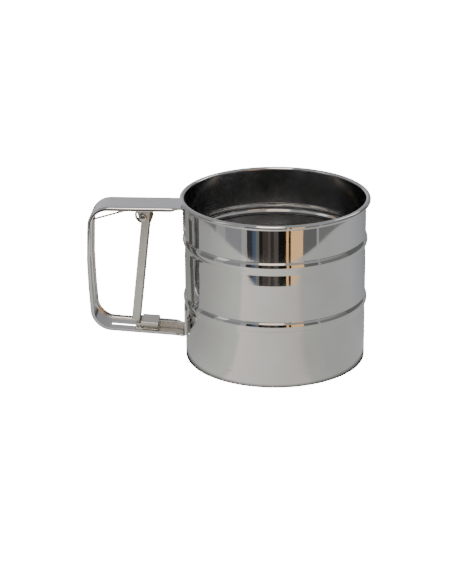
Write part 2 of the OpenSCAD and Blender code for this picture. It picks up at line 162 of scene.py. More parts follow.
def object_from(name: str, mesh: bpy.types.Mesh) -> bpy.types.Object:
    """Puts a mesh into the scene as an object at the origin.

    Args:
        name: the object's name.
        mesh: its mesh.

    Returns:
        The object.
    """
    piece = bpy.data.objects.new(name, mesh)
    bpy.context.scene.collection.objects.link(piece)
    return piece


def mesh_from(name: str, vertices: Sequence[Sequence[float]], edges: Sequence[Sequence[int]] = (),
              faces: Sequence[Sequence[int]] = ()) -> bpy.types.Mesh:
    """Makes a mesh from sizes in millimetres.

    Args:
        name: the mesh's name.
        vertices: the corners, in millimetres.
        edges: pairs of corners.
        faces: loops of corners.

    Returns:
        The mesh, in metres.
    """
    mesh = bpy.data.meshes.new(name)
    mesh.from_pydata([[c * MM for c in v] for v in vertices], [list(e) for e in edges],
                     [list(f) for f in faces])
    mesh.update()
    return mesh


def line_mesh(name: str, points: Sequence[Sequence[float]], closed: bool = False) -> bpy.types.Mesh:
    """A chain of edges through the points, as the input of a sweep or a revolve.

    Args:
        name: the mesh's name.
        points: the chain's corners, in millimetres.
        closed: whether the last corner joins the first.

    Returns:
        The mesh, in metres.
    """
    edges = [(i, i + 1) for i in range(len(points) - 1)]
    if closed:
        edges.append((len(points) - 1, 0))
    return mesh_from(name, points, edges)


def settle(piece: bpy.types.Object) -> bpy.types.Object:
    """Turns a piece's modifiers into plain mesh and removes them.

    Args:
        piece: an object with modifiers.

    Returns:
        The same object.
    """
    bpy.context.view_layer.update()
    graph = bpy.context.evaluated_depsgraph_get()
    made = bpy.data.meshes.new_from_object(piece.evaluated_get(graph), preserve_all_data_layers=True,
                                           depsgraph=graph)
    piece.modifiers.clear()
    piece.data = made
    made.name = piece.name
    return piece


@dataclass(frozen=True)
class SheetWork:
    """How a sheet surface becomes metal: its thickness and its broken edges, in millimetres."""

    thickness: float = 0.0
    edge: float = 0.1
    edge_steps: int = 2
    sharp_over: float = 35.0
    face_weight: int = 60

    def apply(self, piece: bpy.types.Object) -> bpy.types.Object:
        """Thickens the piece, breaks its edges and evens its shading.

        Args:
            piece: an object whose mesh is a surface or a solid.

        Returns:
            The same object with a plain finished mesh.
        """
        bm = bmesh.new()
        bm.from_mesh(piece.data)
        bmesh.ops.recalc_face_normals(bm, faces=bm.faces)
        bm.to_mesh(piece.data)
        bm.free()
        for polygon in piece.data.polygons:
            polygon.use_smooth = True
        if self.thickness:
            solid = piece.modifiers.new("thickness", "SOLIDIFY")
            solid.thickness = self.thickness * MM
            solid.offset = 0
            solid.use_even_offset = True
            solid.use_rim = True
        if self.edge:
            bevel = piece.modifiers.new("edges", "BEVEL")
            bevel.width = self.edge * MM
            bevel.segments = self.edge_steps
            bevel.limit_method = "ANGLE"
            bevel.angle_limit = math.radians(self.sharp_over)
        normals = piece.modifiers.new("shading", "WEIGHTED_NORMAL")
        normals.weight = self.face_weight
        return settle(piece)


def grid_faces(rows: int, columns: int) -> list[list[int]]:
    """Faces of a grid whose corners are counted row by row."""
    return [[r * columns + c, r * columns + c + 1, (r + 1) * columns + c + 1, (r + 1) * columns + c]
            for r in range(rows - 1) for c in range(columns - 1)]


# ---------------------------------------------------------------- node graphs


class Graph:
    """Adds nodes to a tree and links them."""

    def __init__(self, tree: bpy.types.NodeTree) -> None:
        """Takes the tree that the nodes go into."""
        self.tree = tree

    def node(self, kind: str, inputs: dict | None = None, **settings: object) -> bpy.types.Node:
        """Adds one node.

        Args:
            kind: Blender's name of the node type.
            inputs: values or output sockets, by the input's name or place.
            settings: the node's own properties.

        Returns:
            The node.
        """
        made = self.tree.nodes.new(kind)
        for key, value in settings.items():
            setattr(made, key, value)
        for key, value in (inputs or {}).items():
            if isinstance(value, bpy.types.NodeSocket):
                self.tree.links.new(value, made.inputs[key])
            else:
                made.inputs[key].default_value = value
        return made

    def math(self, operation: str, first: object, second: object = 0.0) -> bpy.types.NodeSocket:
        """The result of a sum on two numbers or sockets."""
        return self.node("ShaderNodeMath", {0: first, 1: second}, operation=operation).outputs[0]


class BuildTree(Graph):
    """A Geometry Nodes tree with named inputs that ends in realised, dressed geometry."""

    def __init__(self, name: str, inputs: dict[str, str]) -> None:
        """Starts the tree.

        Args:
            name: the tree's name.
            inputs: socket type by input name, besides the geometry and the material.
        """
        super().__init__(bpy.data.node_groups.new(name, "GeometryNodeTree"))
        face = self.tree.interface
        face.new_socket("Geometry", in_out="INPUT", socket_type="NodeSocketGeometry")
        for key, kind in inputs.items():
            face.new_socket(key, in_out="INPUT", socket_type=f"NodeSocket{kind}")
        face.new_socket("Finish", in_out="INPUT", socket_type="NodeSocketMaterial")
        face.new_socket("Geometry", in_out="OUTPUT", socket_type="NodeSocketGeometry")
        self.given = self.tree.nodes.new("NodeGroupInput").outputs

    def end(self, geometry: bpy.types.NodeSocket) -> None:
        """Realises the geometry, smooths it, sets its finish and closes the tree.

        Args:
            geometry: the built geometry.
        """
        real = self.node("GeometryNodeRealizeInstances", {"Geometry": geometry})
        smooth = self.node("GeometryNodeSetShadeSmooth", {"Geometry": real.outputs[0]})
        dressed = self.node("GeometryNodeSetMaterial",
                            {"Geometry": smooth.outputs[0], "Material": self.given["Finish"]})
        self.node("NodeGroupOutput", {"Geometry": dressed.outputs[0]})

    def build(self, name: str, mesh: bpy.types.Mesh, finish: bpy.types.Material,
              **values: float) -> bpy.types.Object:
        """Runs the tree on a mesh.

        Args:
            name: the new piece's name.
            mesh: the geometry that goes in.
            finish: the material to set.
            values: the named inputs, with _ in place of spaces.

        Returns:
            A piece with a plain mesh and no modifier.
        """
        piece = object_from(name, mesh)
        modifier = piece.modifiers.new("build", "NODES")
        modifier.node_group = self.tree
        wanted = {key.replace("_", " "): value for key, value in values.items()}
        wanted["Finish"] = finish
        for item in self.tree.interface.items_tree:
            if item.item_type == "SOCKET" and item.in_out == "INPUT" and item.name in wanted:
                modifier[item.identifier] = wanted[item.name]
        return settle(piece)


def revolve_tree() -> BuildTree:
    """Turns a half section, drawn as (distance from the path, -height) in X and Y, into a body.

    Returns:
        A tree with the path's radius, the number of steps and the slot's box as inputs.
    """
    tree = BuildTree("revolve", {"Path Radius": "Float", "Steps": "Int", "Slot Half": "Float",
                                 "Slot Low": "Float", "Slot High": "Float"})
    section = tree.node("GeometryNodeMeshToCurve", {"Mesh": tree.given["Geometry"]})
    circle = tree.node("GeometryNodeCurvePrimitiveCircle",
                       {"Resolution": tree.given["Steps"], "Radius": tree.given["Path Radius"]})
    path = tree.node("GeometryNodeSetCurveNormal", {"Curve": circle.outputs[0]}, mode="Z_UP")
    body = tree.node("GeometryNodeCurveToMesh",
                     {"Curve": path.outputs[0], "Profile Curve": section.outputs[0]})
    joined = tree.node("GeometryNodeMergeByDistance", {"Geometry": body.outputs[0], "Distance": SEAM_GAP})
    place = tree.node("ShaderNodeSeparateXYZ", {0: tree.node("GeometryNodeInputPosition").outputs[0]})
    x, y, z = place.outputs
    tests = [tree.math("LESS_THAN", x, 0.0),
             tree.math("LESS_THAN", tree.math("ABSOLUTE", y), tree.given["Slot Half"]),
             tree.math("GREATER_THAN", z, tree.given["Slot Low"]),
             tree.math("LESS_THAN", z, tree.given["Slot High"])]
    inside = tests[0]
    for test in tests[1:]:
        inside = tree.math("MULTIPLY", inside, test)
    cut = tree.node("GeometryNodeDeleteGeometry", {"Geometry": joined.outputs[0], "Selection": inside},
                    domain="FACE", mode="ALL")
    tree.end(cut.outputs[0])
    return tree


def star_tree() -> BuildTree:
    """Repeats a sector round the Z axis and joins the seams.

    Returns:
        A tree with the number of sectors and the first one's angle as inputs.
    """
    tree = BuildTree("star", {"Count": "Int", "First Angle": "Float"})
    points = tree.node("GeometryNodePoints", {"Count": tree.given["Count"]})
    index = tree.node("GeometryNodeInputIndex").outputs[0]
    step = tree.math("DIVIDE", math.tau, tree.given["Count"])
    angle = tree.math("ADD", tree.math("MULTIPLY", index, step), tree.given["First Angle"])
    turn = tree.node("FunctionNodeEulerToRotation",
                     {0: tree.node("ShaderNodeCombineXYZ", {"Z": angle}).outputs[0]})
    copies = tree.node("GeometryNodeInstanceOnPoints",
                       {"Points": points.outputs[0], "Instance": tree.given["Geometry"],
                        "Rotation": turn.outputs[0]})
    real = tree.node("GeometryNodeRealizeInstances", {"Geometry": copies.outputs[0]})
    joined = tree.node("GeometryNodeMergeByDistance",
                       {"Geometry": real.outputs[0], "Distance": SECTOR_GAP})
    tree.end(joined.outputs[0])
    return tree


def weave_tree() -> BuildTree:
    """Weaves a round screen of wires that pass over and under each other.

    Returns:
        A tree with the screen's radius, height, pitch, wire radius and counts as inputs.
    """
    tree = BuildTree("weave", {"Radius": "Float", "Height": "Float", "Pitch": "Float",
                               "Wire Radius": "Float", "Wires": "Int"})
    span = tree.math("MULTIPLY", tree.given["Pitch"], tree.math("SUBTRACT", tree.given["Wires"], 1.0))
    bends = tree.math("SUBTRACT", tree.math("MULTIPLY", tree.given["Wires"], 2.0), 1.0)
    grid = tree.node("GeometryNodeMeshGrid", {"Size X": span, "Size Y": span, "Vertices X": bends,
                                              "Vertices Y": tree.given["Wires"]})
    lines = tree.node("GeometryNodeDeleteGeometry", {"Geometry": grid.outputs[0]},
                      domain="FACE", mode="ONLY_FACE")
    ends = tree.node("GeometryNodeInputMeshEdgeVertices")
    reach = tree.node("ShaderNodeVectorMath",
                      {0: ends.outputs["Position 1"], 1: ends.outputs["Position 2"]},
                      operation="SUBTRACT")
    across = tree.node("ShaderNodeSeparateXYZ", {0: reach.outputs[0]}).outputs[1]
    wires = tree.node("GeometryNodeDeleteGeometry",
                      {"Geometry": lines.outputs[0],
                       "Selection": tree.math("GREATER_THAN", tree.math("ABSOLUTE", across), 1e-5)},
                      domain="EDGE", mode="EDGE_FACE")
    place = tree.node("GeometryNodeInputPosition").outputs[0]
    far = tree.node("ShaderNodeVectorMath", {0: place}, operation="LENGTH")
    disc = tree.node("GeometryNodeDeleteGeometry",
                     {"Geometry": wires.outputs[0],
                      "Selection": tree.math("GREATER_THAN", far.outputs["Value"], tree.given["Radius"])},
                     domain="POINT", mode="ALL")
    x, y, _ = tree.node("ShaderNodeSeparateXYZ", {0: place}).outputs
    steps = tree.math("DIVIDE", tree.math("ADD", x, y), tree.given["Pitch"])
    phase = tree.math("MULTIPLY", steps, math.pi)
    lift = tree.math("MULTIPLY", tree.math("COSINE", phase),
                     tree.math("MULTIPLY", tree.given["Wire Radius"], WEAVE_LIFT))
    profile = tree.node("GeometryNodeCurvePrimitiveCircle",
                        {"Resolution": WEAVE_SIDES, "Radius": tree.given["Wire Radius"]})
    layers = []
    for sign, turn in ((1.0, 0.0), (-1.0, math.pi / 2)):
        offset = tree.node("ShaderNodeCombineXYZ", {"Z": tree.math("MULTIPLY", lift, sign)})
        bent = tree.node("GeometryNodeSetPosition",
                         {"Geometry": disc.outputs[0], "Offset": offset.outputs[0]})
        curves = tree.node("GeometryNodeMeshToCurve", {"Mesh": bent.outputs[0]})
        tubes = tree.node("GeometryNodeCurveToMesh",
                          {"Curve": curves.outputs[0], "Profile Curve": profile.outputs[0],
                           "Fill Caps": True})
        moved = tree.node("ShaderNodeCombineXYZ", {"Z": tree.given["Height"]})
        layer = tree.node("GeometryNodeTransform",
                          {"Geometry": tubes.outputs[0], "Translation": moved.outputs[0],
                           "Rotation": (0.0, 0.0, turn)})
        layers.append(layer.outputs[0])
    both = tree.node("GeometryNodeJoinGeometry")
    for layer in layers:
        tree.tree.links.new(layer, both.inputs[0])
    tree.end(both.outputs[0])
    return tree


def wire_tree() -> BuildTree:
    """Sweeps a round wire along a chain of edges.

    Returns:
        A tree with the wire's radius and its number of sides as inputs.
    """
    tree = BuildTree("wire", {"Wire Radius": "Float", "Sides": "Int"})
    path = tree.node("GeometryNodeMeshToCurve", {"Mesh": tree.given["Geometry"]})
    circle = tree.node("GeometryNodeCurvePrimitiveCircle",
                       {"Resolution": tree.given["Sides"], "Radius": tree.given["Wire Radius"]})
    tube = tree.node("GeometryNodeCurveToMesh",
                     {"Curve": path.outputs[0], "Profile Curve": circle.outputs[0], "Fill Caps": True})
    tree.end(tube.outputs[0])
    return tree


def weld_tree() -> BuildTree:
    """Puts a low round spot-weld mark on each point, facing the way its attribute says.

    Returns:
        A tree with the mark's radius and how far it stands out as inputs.
    """
    tree = BuildTree("welds", {"Mark Radius": "Float", "Rise": "Float"})
    ball = tree.node("GeometryNodeMeshUVSphere",
                     {"Segments": WELD_SEGMENTS, "Rings": WELD_RINGS,
                      "Radius": tree.given["Mark Radius"]})
    flat = tree.math("DIVIDE", tree.given["Rise"], tree.given["Mark Radius"])
    squeeze = tree.node("ShaderNodeCombineXYZ", {"X": 1.0, "Y": 1.0, "Z": flat})
    mark = tree.node("GeometryNodeTransform", {"Geometry": ball.outputs[0], "Scale": squeeze.outputs[0]})
    facing = tree.node("GeometryNodeInputNamedAttribute", {"Name": "facing"}, data_type="FLOAT_VECTOR")
    turn = tree.node("FunctionNodeAlignRotationToVector", {"Vector": facing.outputs[0]}, axis="Z")
    marks = tree.node("GeometryNodeInstanceOnPoints",
                      {"Points": tree.given["Geometry"], "Instance": mark.outputs[0],
                       "Rotation": turn.outputs[0]})
    tree.end(marks.outputs[0])
    return tree


# ---------------------------------------------------------------- finishes


class Lay(Enum):
    """Which way the polishing or rolling lines of a finish run."""

    AROUND = (70.0, 70.0, 5200.0)
    UPRIGHT = (3800.0, 3800.0, 60.0)
    ALONG_X = (60.0, 3800.0, 3800.0)
    EVEN = (900.0, 900.0, 900.0)


NOISE_ROUGHNESS = 0.55
PATCH_CELLS = (42.0, 42.0, 42.0)
STAIN_RANGE = (0.42, 0.68)
GLOSS_RANGE = (0.35, 0.75)
GRAIN_SHARE = 0.35
SHINIEST_SHARE = 0.6
DULLEST = 0.75
SCRATCH_TURNS = ((0.3, 0.5, 0.9), (1.1, -0.4, 2.2))
SCRATCH_CELLS = (1400.0, 60.0, 90.0)
SCRATCH_RANGE = (0.70, 0.74)
SCRATCH_BEND = 0.4
SCRATCH_DEPTH_SHARE = 1.5


@dataclass(frozen=True)
class SteelFinish:
    """A stainless surface: its tints, its gloss and the marks in it.

    Attributes:
        slot: the record's material slot that it belongs to.
        colour: tint of clean metal.
        stain: tint of the slightly stained patches.
        gloss: lowest and highest roughness.
        lay: direction of the fine lines.
        line_depth: height of the fine lines, in metres.
        wave_depth: height of the slow waves in the sheet, in metres.
        wave_scale: waves per metre, across and up.
        scratch: how much a scratch roughens the surface.
        rough_and_shaded_within: radius about the Z axis inside which the surface is rougher and darkened by
            painted shade, in metres, or 0.
        dulling: how much rougher it is there.
        painted_shade_colour: its tint there, a painted shade that darkens the inside of the cup.
    """

    slot: str
    colour: Colour
    stain: Colour
    gloss: tuple[float, float]
    lay: Lay
    line_depth: float
    wave_depth: float
    wave_scale: Point3
    scratch: float
    rough_and_shaded_within: float = 0.0
    dulling: float = 0.0
    # Painted shade: this darker tint stands in for the shade inside the cup.
    painted_shade_colour: Colour = (0.46, 0.46, 0.47)

    def make(self) -> bpy.types.Material:
        """Builds the material.

        Returns:
            The material, named after its slot.
        """
        material = bpy.data.materials.new(self.slot)
        material.use_nodes = True
        graph = Graph(material.node_tree)
        shader = material.node_tree.nodes["Principled BSDF"]
        shader.inputs["Metallic"].default_value = 1.0
        place = graph.node("ShaderNodeTexCoord").outputs["Object"]

        lines = self._noise(graph, place, self.lay.value, 4.0)
        waves = self._noise(graph, place, self.wave_scale, 1.0)
        patches = self._noise(graph, place, PATCH_CELLS, 5.0)
        marks = self._scratches(graph, place)
        # Inside the cup the steel is rougher, and its colour is darkened there as painted shade.
        inside = self._inside(graph, place) if self.rough_and_shaded_within else None

        tint = self._tint(graph, patches, inside)
        graph.tree.links.new(tint, shader.inputs["Base Color"])
        rough = self._roughness(graph, patches, lines, marks, inside)
        graph.tree.links.new(rough, shader.inputs["Roughness"])

        wavy = graph.node("ShaderNodeBump", {"Distance": self.wave_depth, "Height": waves})
        lined = graph.node("ShaderNodeBump", {"Distance": self.line_depth, "Height": lines,
                                              "Normal": wavy.outputs[0]})
        scored = graph.node("ShaderNodeBump", {"Distance": self.line_depth * SCRATCH_DEPTH_SHARE,
                                               "Height": marks, "Normal": lined.outputs[0]})
        scored.invert = True
        graph.tree.links.new(scored.outputs[0], shader.inputs["Normal"])
        return material

    def _tint(self, graph: Graph, patches: bpy.types.NodeSocket,
              inside: bpy.types.NodeSocket | None) -> bpy.types.NodeSocket:
        """Clean metal with faintly stained patches, and a darker tint of painted shade inside the cup.

        Args:
            graph: the material's graph.
            patches: noise that places the stains.
            inside: 1 where the painted shade tint goes, or None.

        Returns:
            The colour.
        """
        start, full = STAIN_RANGE
        patchy = graph.node("ShaderNodeMapRange", {0: patches, 1: start, 2: full, 3: 0.0, 4: 1.0})
        colour = graph.node("ShaderNodeMix", {0: patchy.outputs[0], 6: (*self.colour, 1.0),
                                              7: (*self.stain, 1.0)}, data_type="RGBA").outputs[2]
        if inside is None:
            return colour
        # Painted shade: the inside of the cup is mixed towards a darker tint.
        return graph.node("ShaderNodeMix", {0: inside, 6: colour, 7: (*self.painted_shade_colour, 1.0)},
                          data_type="RGBA").outputs[2]

    def _roughness(self, graph: Graph, patches: bpy.types.NodeSocket, lines: bpy.types.NodeSocket,
                   marks: bpy.types.NodeSocket,
                   inside: bpy.types.NodeSocket | None) -> bpy.types.NodeSocket:
        """Roughness that changes with the patches, the fine lines and the scratches.

        Args:
            graph: the material's graph.
            patches: noise that places duller patches.
            lines: noise of the fine lines.
            marks: 1 in a scratch.
            inside: 1 where the surface is duller, or None.

        Returns:
            The roughness.
        """
        low, high = self.gloss
        start, full = GLOSS_RANGE
        rough = graph.node("ShaderNodeMapRange", {0: patches, 1: start, 2: full, 3: low, 4: high}).outputs[0]
        grain = graph.math("MULTIPLY", graph.math("SUBTRACT", lines, 0.5), (low + high) * GRAIN_SHARE)
        scratched = graph.math("MULTIPLY", marks, self.scratch)
        rough = graph.math("ADD", graph.math("ADD", rough, grain), scratched)
        if inside is not None:
            rough = graph.math("ADD", rough, graph.math("MULTIPLY", inside, self.dulling))
        return graph.node("ShaderNodeClamp", {0: rough, 1: low * SHINIEST_SHARE, 2: DULLEST}).outputs[0]

    def _inside(self, graph: Graph, place: bpy.types.NodeSocket) -> bpy.types.NodeSocket:
        """Marks the surface that is nearer to the Z axis than rough_and_shaded_within, which is rougher and
        gets the painted shade.

        Args:
            graph: the material's graph.
            place: the coordinates.

        Returns:
            1 inside and 0 outside.
        """
        level = graph.node("ShaderNodeVectorMath", {0: place, 1: (1.0, 1.0, 0.0)}, operation="MULTIPLY")
        far = graph.node("ShaderNodeVectorMath", {0: level.outputs[0]}, operation="LENGTH")
        return graph.math("LESS_THAN", far.outputs["Value"], self.rough_and_shaded_within)

    def _noise(self, graph: Graph, place: bpy.types.NodeSocket, stretch: Sequence[float],
               detail: float) -> bpy.types.NodeSocket:
        """Noise that runs along the surface's own lines.

        Args:
            graph: the material's graph.
            place: the coordinates.
            stretch: noise cells per metre along X, Y and Z.
            detail: how many finer layers are added.

        Returns:
            The noise, from 0 to 1.
        """
        mapped = graph.node("ShaderNodeMapping", {"Vector": place, "Scale": tuple(stretch)})
        noise = graph.node("ShaderNodeTexNoise", {"Vector": mapped.outputs[0], "Scale": 1.0,
                                                  "Detail": detail, "Roughness": NOISE_ROUGHNESS})
        return noise.outputs[0]

    def _scratches(self, graph: Graph, place: bpy.types.NodeSocket) -> bpy.types.NodeSocket:
        """Sparse hairline scratches in two directions.

        Args:
            graph: the material's graph.
            place: the coordinates.

        Returns:
            1 in a scratch and 0 beside it.
        """
        start, full = SCRATCH_RANGE
        found = []
        for turn in SCRATCH_TURNS:
            mapped = graph.node("ShaderNodeMapping",
                                {"Vector": place, "Rotation": turn, "Scale": SCRATCH_CELLS})
            noise = graph.node("ShaderNodeTexNoise", {"Vector": mapped.outputs[0], "Scale": 1.0,
                                                      "Detail": 1.0, "Distortion": SCRATCH_BEND})
            found.append(graph.node("ShaderNodeMapRange",
                                    {0: noise.outputs[0], 1: start, 2: full}).outputs[0])
        return graph.math("MAXIMUM", *found)


FINISHES = (
    # The polished shell is rougher inside the cup and darkened there by painted shade.
    SteelFinish("polished_steel", (0.70, 0.70, 0.695), (0.66, 0.655, 0.645), (0.035, 0.07), Lay.AROUND,
                4e-7, 5e-5, (34.0, 34.0, 9.0), 0.05, rough_and_shaded_within=0.04968, dulling=0.11),
    SteelFinish("handle_steel", (0.72, 0.72, 0.725), (0.68, 0.68, 0.68), (0.07, 0.14), Lay.ALONG_X,
                5e-7, 3e-5, (40.0, 70.0, 40.0), 0.08),
    SteelFinish("pressed_steel", (0.72, 0.71, 0.665), (0.66, 0.645, 0.60), (0.24, 0.36), Lay.UPRIGHT,
                2e-6, 2e-5, (60.0, 60.0, 20.0), 0.10),
    SteelFinish("agitator_steel", (0.56, 0.52, 0.47), (0.47, 0.43, 0.38), (0.22, 0.36), Lay.EVEN,
                2e-6, 3e-5, (60.0, 60.0, 60.0), 0.12),
    SteelFinish("rivet_steel", (0.64, 0.63, 0.61), (0.56, 0.54, 0.51), (0.16, 0.30), Lay.AROUND,
                1.5e-6, 1e-5, (200.0, 200.0, 200.0), 0.12),
    SteelFinish("screen_wire", (0.74, 0.73, 0.71), (0.66, 0.65, 0.62), (0.20, 0.32), Lay.EVEN,
                1e-6, 1e-6, (300.0, 300.0, 300.0), 0.05),
    SteelFinish("spring_wire", (0.42, 0.36, 0.25), (0.30, 0.25, 0.17), (0.20, 0.32), Lay.EVEN,
                1e-6, 1e-6, (300.0, 300.0, 300.0), 0.10),
)


@dataclass
class Workshop:
    """The trees and finishes that every sub-assembly uses."""

    finishes: dict[str, bpy.types.Material] = field(
        default_factory=lambda: {finish.slot: finish.make() for finish in FINISHES})
    revolve: BuildTree = field(default_factory=revolve_tree)
    star: BuildTree = field(default_factory=star_tree)
    weave: BuildTree = field(default_factory=weave_tree)
    wire: BuildTree = field(default_factory=wire_tree)
    welds: BuildTree = field(default_factory=weld_tree)

    def turned(self, name: str, section: Sequence[Point2], slot: str, steps: int = 64,
               closed: bool = False, slit: tuple[float, float, float] = (0, 0, 0)) -> bpy.types.Object:
        """Revolves a half section round the Z axis.

        Args:
            name: the piece's name.
            section: (radius, height) points, in millimetres.
            slot: the finish's slot.
            steps: number of steps round the axis.
            closed: whether the section is a closed ring.
            slit: half width, bottom and top of an opening on the -X side, in millimetres.

        Returns:
            The piece.
        """
        reach = max(radius for radius, _ in section)
        drawn = line_mesh(name, [(radius - reach, -height, 0) for radius, height in section], closed)
        return self.revolve.build(name, drawn, self.finishes[slot], Path_Radius=reach * MM, Steps=steps,
                                  Slot_Half=slit[0] * MM, Slot_Low=slit[1] * MM, Slot_High=slit[2] * MM)

    def hand_over(self, piece: bpy.types.Object, body: str, slot: str, *nodes: str) -> None:
        """Gives a finished piece its finish if it has none, puts it on its body and hides the CAD nodes that
        it stands for.

        Args:
            piece: the finished piece.
            body: the CAD body that it rides on.
            slot: the record's material slot.
            nodes: the CAD nodes that it replaces.
        """
        if not piece.data.materials:
            piece.data.materials.append(self.finishes[slot])
        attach(piece, body)
        if nodes:
            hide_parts(*nodes)
        log.info("%s rides on %s, %d faces", piece.name, body, len(piece.data.polygons))


# ---------------------------------------------------------------- the cup


@dataclass
class Cup:
    """The drawn shell: folded hem, crimp, two beads and a rolled rim. Sizes in millimetres.

    Attributes:
        waist_line: (distance below a bead's middle, share of the waist) where the wall draws in.
    """

    radius: float = 50.0
    wall: float = 0.5
    height: float = 93.0
    roll: float = 1.45
    roll_sweep: float = 300.0
    bead_rise: float = 0.95
    bead_width: float = 5.6
    bead_heights: tuple[float, float] = (35.0, 69.0)
    bead_fillet: float = 1.2
    crimp_height: float = 8.4
    crimp_depth: float = 0.08
    crimp_width: float = 2.4
    crimp_fillet: float = 3.0
    waist: float = 0.245
    hem_height: float = 3.2
    hem_gap: float = 0.03
    slot_half: float = 1.5
    slot_low: float = 11.7
    slot_high: float = 17.45
    steps: int = 416
    bend_steps: int = 4
    arc_steps: int = 14
    fold_steps: int = 8
    roll_steps: int = 26
    waist_line: tuple[Point2, ...] = ((11.0, 0.0), (10.2, 0.12), (4.6, 1.0), (3.9, 0.8))

    def ridge(self, middle: float, rise: float, width: float, fillet: float, outward: int) -> list[Point2]:
        """Section of a bead or crimp, as (radius, height) from the bottom up.

        Args:
            middle: height of its middle.
            rise: how far the sheet is pushed.
            width: width of the pushed arc.
            fillet: radius of the bends beside it.
            outward: 1 for a bead, -1 for a crimp.

        Returns:
            The points of the sheet's middle line.
        """
        line = self.radius - self.wall / 2
        arc = (width ** 2 / 4 + rise ** 2) / (2 * rise) - self.wall / 2
        drop = arc - rise
        foot = math.sqrt((arc + fillet) ** 2 - (drop + fillet) ** 2)
        lean = math.degrees(math.asin(foot / (arc + fillet)))
        low = arc_points((line + outward * fillet, middle - foot), fillet,
                         180 if outward > 0 else 0, -outward * lean, self.bend_steps)
        top = arc_points((line - outward * drop, middle), arc,
                         -lean if outward > 0 else 180 + lean, outward * 2 * lean, self.arc_steps)
        high = [(r, 2 * middle - z) for r, z in reversed(low)]
        return low[:-1] + top + high[1:]

    def section(self) -> list[Point2]:
        """Middle line of the sheet from the hem's inner edge to the end of the roll.

        Returns:
            (radius, height) points.
        """
        line = self.radius - self.wall / 2
        fold = (self.wall + self.hem_gap) / 2
        fold_z = fold + self.wall / 2
        points = [(line - 2 * fold, self.hem_height), (line - 2 * fold, self.hem_height / 2)]
        points += arc_points((line - fold, fold_z), fold, 180, 180, self.fold_steps)
        points += self.ridge(self.crimp_height, self.crimp_depth, self.crimp_width, self.crimp_fillet, -1)
        slot_middle = (self.slot_low + self.slot_high) / 2
        points += [(line, self.slot_low), (line, slot_middle), (line, self.slot_high)]
        for height in self.bead_heights:
            points += [(line - self.waist * share, height - below) for below, share in self.waist_line]
            points += self.ridge(height, self.bead_rise, self.bead_width, self.bead_fillet, 1)
        centre = (self.radius - self.wall + self.roll, self.height - self.roll)
        points += arc_points(centre, self.roll - self.wall / 2, 180, -self.roll_sweep,
                             self.roll_steps)
        return points

    def build(self, shop: Workshop) -> None:
        """Makes the shell and hands it over.

        Args:
            shop: the trees and finishes.
        """
        shell = shop.turned("cup_shell_drawn", self.section(), "polished_steel", self.steps,
                            slit=(self.slot_half, self.slot_low, self.slot_high))
        SheetWork(self.wall, edge=0).apply(shell)
        shop.hand_over(shell, "cup", "polished_steel", "cup_shell")


# ---------------------------------------------------------------- screen and its carriers


@dataclass
class Screen:
    """The woven screen and the crimped ring that clamps it. Sizes in millimetres."""

    radius: float = 48.6
    pitch: float = 1.2
    wire: float = 0.21
    height: float = 3.9
    wires: int = 81
    ring_inner: float = 46.4
    ring_outer: float = 49.5
    ring_low: float = 3.2
    skirt_top: float = 7.2
    sheet: float = 0.5
    screen_gap: float = 0.4

    def ring_section(self) -> list[Point2]:
        """Outline of the ring's section: two flanges on the screen and a skirt at the wall.

        Returns:
            The closed outline, as (radius, height) points.
        """
        low, t = self.ring_low, self.sheet
        mid = low + t + self.screen_gap
        inner, outer = self.ring_inner, self.ring_outer
        corners = [(inner, low), (outer, low), (outer, self.skirt_top), (outer - t, self.skirt_top),
                   (outer - t, mid + t), (inner, mid + t), (inner, mid), (outer - t, mid),
                   (outer - t, low + t), (inner, low + t)]
        radii = [0.2, 0.3, 0.2, 0.2, 0.5, 0.2, 0.2, 0.1, 0.1, 0.2]
        return filleted(corners, radii, 30, closed=True)

    def build(self, shop: Workshop) -> None:
        """Makes the woven screen and its ring and hands them over.

        Args:
            shop: the trees and finishes.
        """
        empty = mesh_from("seed", [(0, 0, 0)])
        weave = shop.weave.build("screen_weave", empty, shop.finishes["screen_wire"],
                                 Radius=self.radius * MM, Height=self.height * MM, Pitch=self.pitch * MM,
                                 Wire_Radius=self.wire / 2 * MM, Wires=self.wires)
        shop.hand_over(weave, "cup", "screen_wire", "screen")
        ring = shop.turned("screen_ring", self.ring_section(), "pressed_steel", 192, closed=True)
        SheetWork(edge=0).apply(ring)
        shop.hand_over(ring, "cup", "pressed_steel", "screen_frame")


